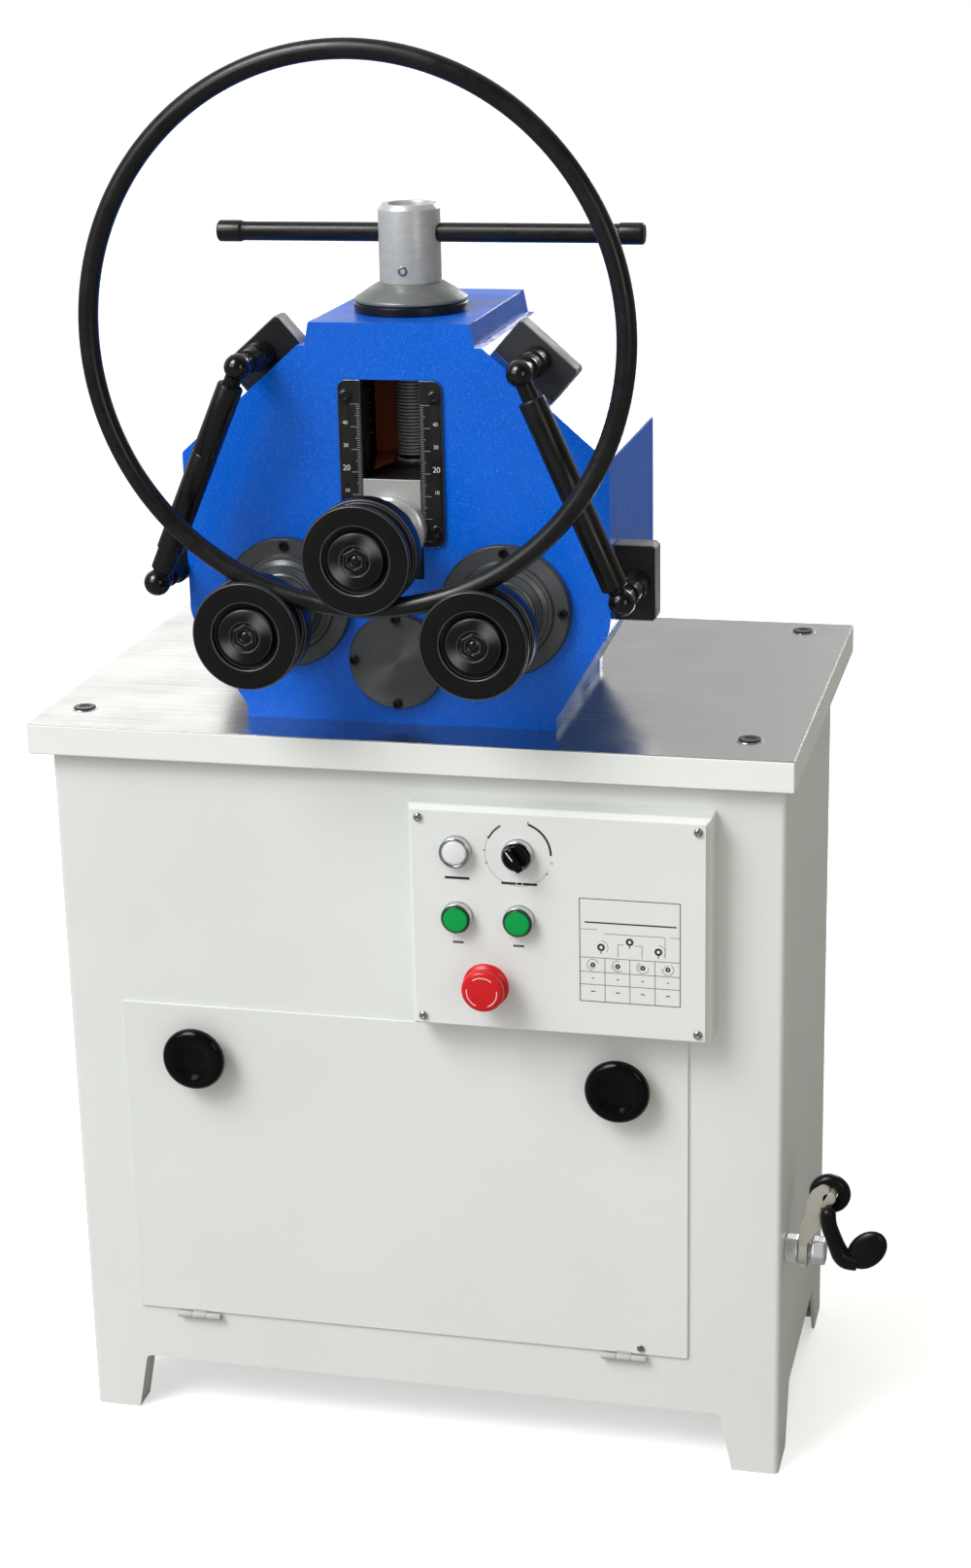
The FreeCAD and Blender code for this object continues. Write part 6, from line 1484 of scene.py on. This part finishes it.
def buildDrive():
    low, high = drive["case"]
    boxPiece("gearCase", low, high, drivePaint, "gear_reducer", "drive_grey", 7, 4)
    x, z = rollCentres["pinion"]
    turnedPiece("gearFlange", drive["flange"], (x, low[1], z), drivePaint, soften=0.3)
    turnedPiece("gearHub", drive["hub"], (x, high[1], z), drivePaint, steps=64, soften=0.3,
                turn=toBack)
    circle = drive["hubScrewCircle"]
    angles = [math.radians(45 + 90 * index) for index in range(4)]
    socketScrews("gearHubScrews", [(x + circle * math.cos(a), high[1] + 6,
                                    z + circle * math.sin(a)) for a in angles],
                 plainSteel, turn=toBack)
    x, y, z = drive["motorAt"]
    turnedPiece("motorShell", drive["motor"], (x, y, z), drivePaint, "drive_motor",
                80, turn=toLeft)
    bm = bmesh.new()
    for index in range(drive["fins"]):
        made = boxShape(bm, *drive["fin"])
        turn = Matrix.Rotation(math.tau * index / drive["fins"], 3, "X")
        bmesh.ops.rotate(bm, cent=(0, 0, 0), matrix=turn, verts=made)
    bmesh.ops.translate(bm, vec=Vector((x, y, z)) * mm, verts=bm.verts)
    finishPiece("motorFins", bm, drivePaint, modifiers=[edgeRound(0.5, 1)])
    boxPiece("terminalBox", *drive["terminalBox"], drivePaint, rounding=3, segments=3)
    bm = bmesh.new()
    for r in drive["fanRings"]:
        spinProfile(bm, [(r, 0), (r + 3, 0), (r + 3, 0.5), (r, 0.5), (r, 0)],
                    placeAt(drive["fanX"], y, z, toLeft), 48)
    finishPiece("fanGrilleRings", bm, greaseAndShadeBlack)


buildDrive()
print("drive built")


# ---- lever on the right side ----

lever = {
    "bolt": (337, -135, 220),
    "hexLength": 13,
    "hexRadius": 13.8,
    "nutStart": 24.5,
    "shank": [(0, 0), (8, 0), (8, 25.5), (0, 25.5)],
    "eyeX": 354.5,
    "eye": [(8.2, -4), (15, -4), (15, 4), (8.2, 4), (8.2, -4)],
    "lug": ((350.8, -146.9, 206), (358.2, -134, 243)),
    "riserY": (-147.3, -141.3),
    "riser": [(350.5, 220), (358.5, 220), (358.5, 232), (369, 249), (369, 262.5), (371, 272),
              (378.5, 288), (371, 290.5), (361.4, 283.4), (356.5, 272.5), (357, 261.5),
              (350.5, 250)],
    "riserRounds": {2: 3, 3: 5, 5: 5, 6: 2.5, 7: 5, 8: 12, 9: 8, 10: 3, 11: 4},
    "bossAt": (369.5, -141.4, 277),
    "boss": [(0, 0), (8.6, 0), (8.6, 5), (8, 5.8), (0, 5.8)],
    "pegAt": (377, -123, 278.5),
    "peg": [(0, 0), (6.5, 0), (6.5, 23.3), (5.5, 24.3), (0, 24.3)],
    "loop": (377, -135, 278.5),
    "loopRadius": 13,
    "bar": 6,
    "stemY": -154.6,
    "stem": [(377.8, 267.5), (377.8, 258), (382, 246.5), (386.5, 235), (390.5, 226.5),
             (396.5, 222.5), (405, 221.5)],
    "stemRadius": [7.2, 7.4, 7.5, 7.8, 8.8, 9.2, 7.8],
    "topBall": 7,
    "spoon": (413.5, 234.5),
    "spoonSize": (21.5, 6.5, 15.5),
    "spoonLean": -51,
}


def tubeAlong(points, radii):
    curve = bpy.data.curves.new("leverStem", "CURVE")
    curve.dimensions = "3D"
    curve.bevel_depth = 1
    curve.bevel_resolution = 8
    curve.resolution_u = 10
    curve.use_fill_caps = True
    line = curve.splines.new("NURBS")
    line.points.add(len(points) - 1)
    for point, place, radius in zip(line.points, points, radii):
        point.co = (*(Vector(place) * mm), 1)
        point.radius = radius * mm
    line.order_u = 3
    line.use_endpoint_u = True
    return meshOf(curve)


def buildLeverArm():
    x, y, z = lever["bolt"]
    length = lever["hexLength"]
    turnedPiece("leverBoltShank", lever["shank"], (x, y, z), chromeBolt, "lever_bolt",
                36, 0, turn=toRight)
    bm = bmesh.new()
    for at in (0, lever["nutStart"]):
        bmesh.ops.create_cone(bm, cap_ends=True, segments=6, radius1=lever["hexRadius"] * mm,
                              radius2=lever["hexRadius"] * mm, depth=length * mm,
                              matrix=placeAt(x + at + length / 2, y, z, toRight))
    finishPiece("leverHexes", bm, chromeBolt, "lever_nut", 20,
                modifiers=[edgeRound(2.4, 5)])
    turnedPiece("armEye", lever["eye"], (lever["eyeX"], y, z), armShadedPaint, "lever_arm",
                48, 0.8, turn=toRight)
    platePiece("armRiser", lever["riser"], *lever["riserY"], armShadedPaint, rounding=1, segments=3,
               rounds=lever["riserRounds"])
    boxPiece("armLug", *lever["lug"], armShadedPaint, rounding=1.4, segments=3)
    for name, key in (("armBoss", "boss"), ("armPeg", "peg")):
        turnedPiece(name, lever[key], lever[key + "At"], armShadedPaint, steps=36, soften=0.3)


def buildLever():
    x, y, z = lever["loop"]
    stemY, bar = lever["stemY"], lever["bar"]
    bm = bmesh.new()
    ringShape(bm, (x, y, z), lever["loopRadius"], bar, 24, 64)
    spinProfile(bm, [(0, 0), (bar, 0), (bar, y - stemY), (0, y - stemY)],
                placeAt(x, y, z - lever["loopRadius"], toFront), 32)
    bm.from_mesh(tubeAlong([(px, stemY, pz) for px, pz in lever["stem"]], lever["stemRadius"]))
    topX, topZ = lever["stem"][0]
    bmesh.ops.create_uvsphere(bm, u_segments=32, v_segments=20, radius=lever["topBall"] * mm,
                              matrix=placeAt(topX, stemY, topZ))
    spoonX, spoonZ = lever["spoon"]
    lean = Matrix.Rotation(math.radians(lever["spoonLean"]), 4, "Y")
    size = Matrix.Diagonal((*[half * mm for half in lever["spoonSize"]], 1))
    bmesh.ops.create_uvsphere(bm, u_segments=40, v_segments=28, radius=1,
                              matrix=placeAt(spoonX, stemY, spoonZ, lean) @ size)
    finishPiece("blackLever", bm, rubberBlack, "side_lever", 70, "side_lever")


buildLeverArm()
buildLever()
print("side lever built")


# ---- inner pieces keep their solids and get a finish ----

innerFinish = {
    "contact_blocks": greyPlastic,
    "shaft_bearings": brightSteel,
    "upper_bearings": brightSteel,
    "left_gear": plainSteel,
    "right_gear": plainSteel,
    "pinion_shaft": plainSteel,
}

for node, material in innerFinish.items():
    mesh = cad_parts[node].data
    mesh.materials.clear()
    mesh.materials.append(material)

print("all pieces built")
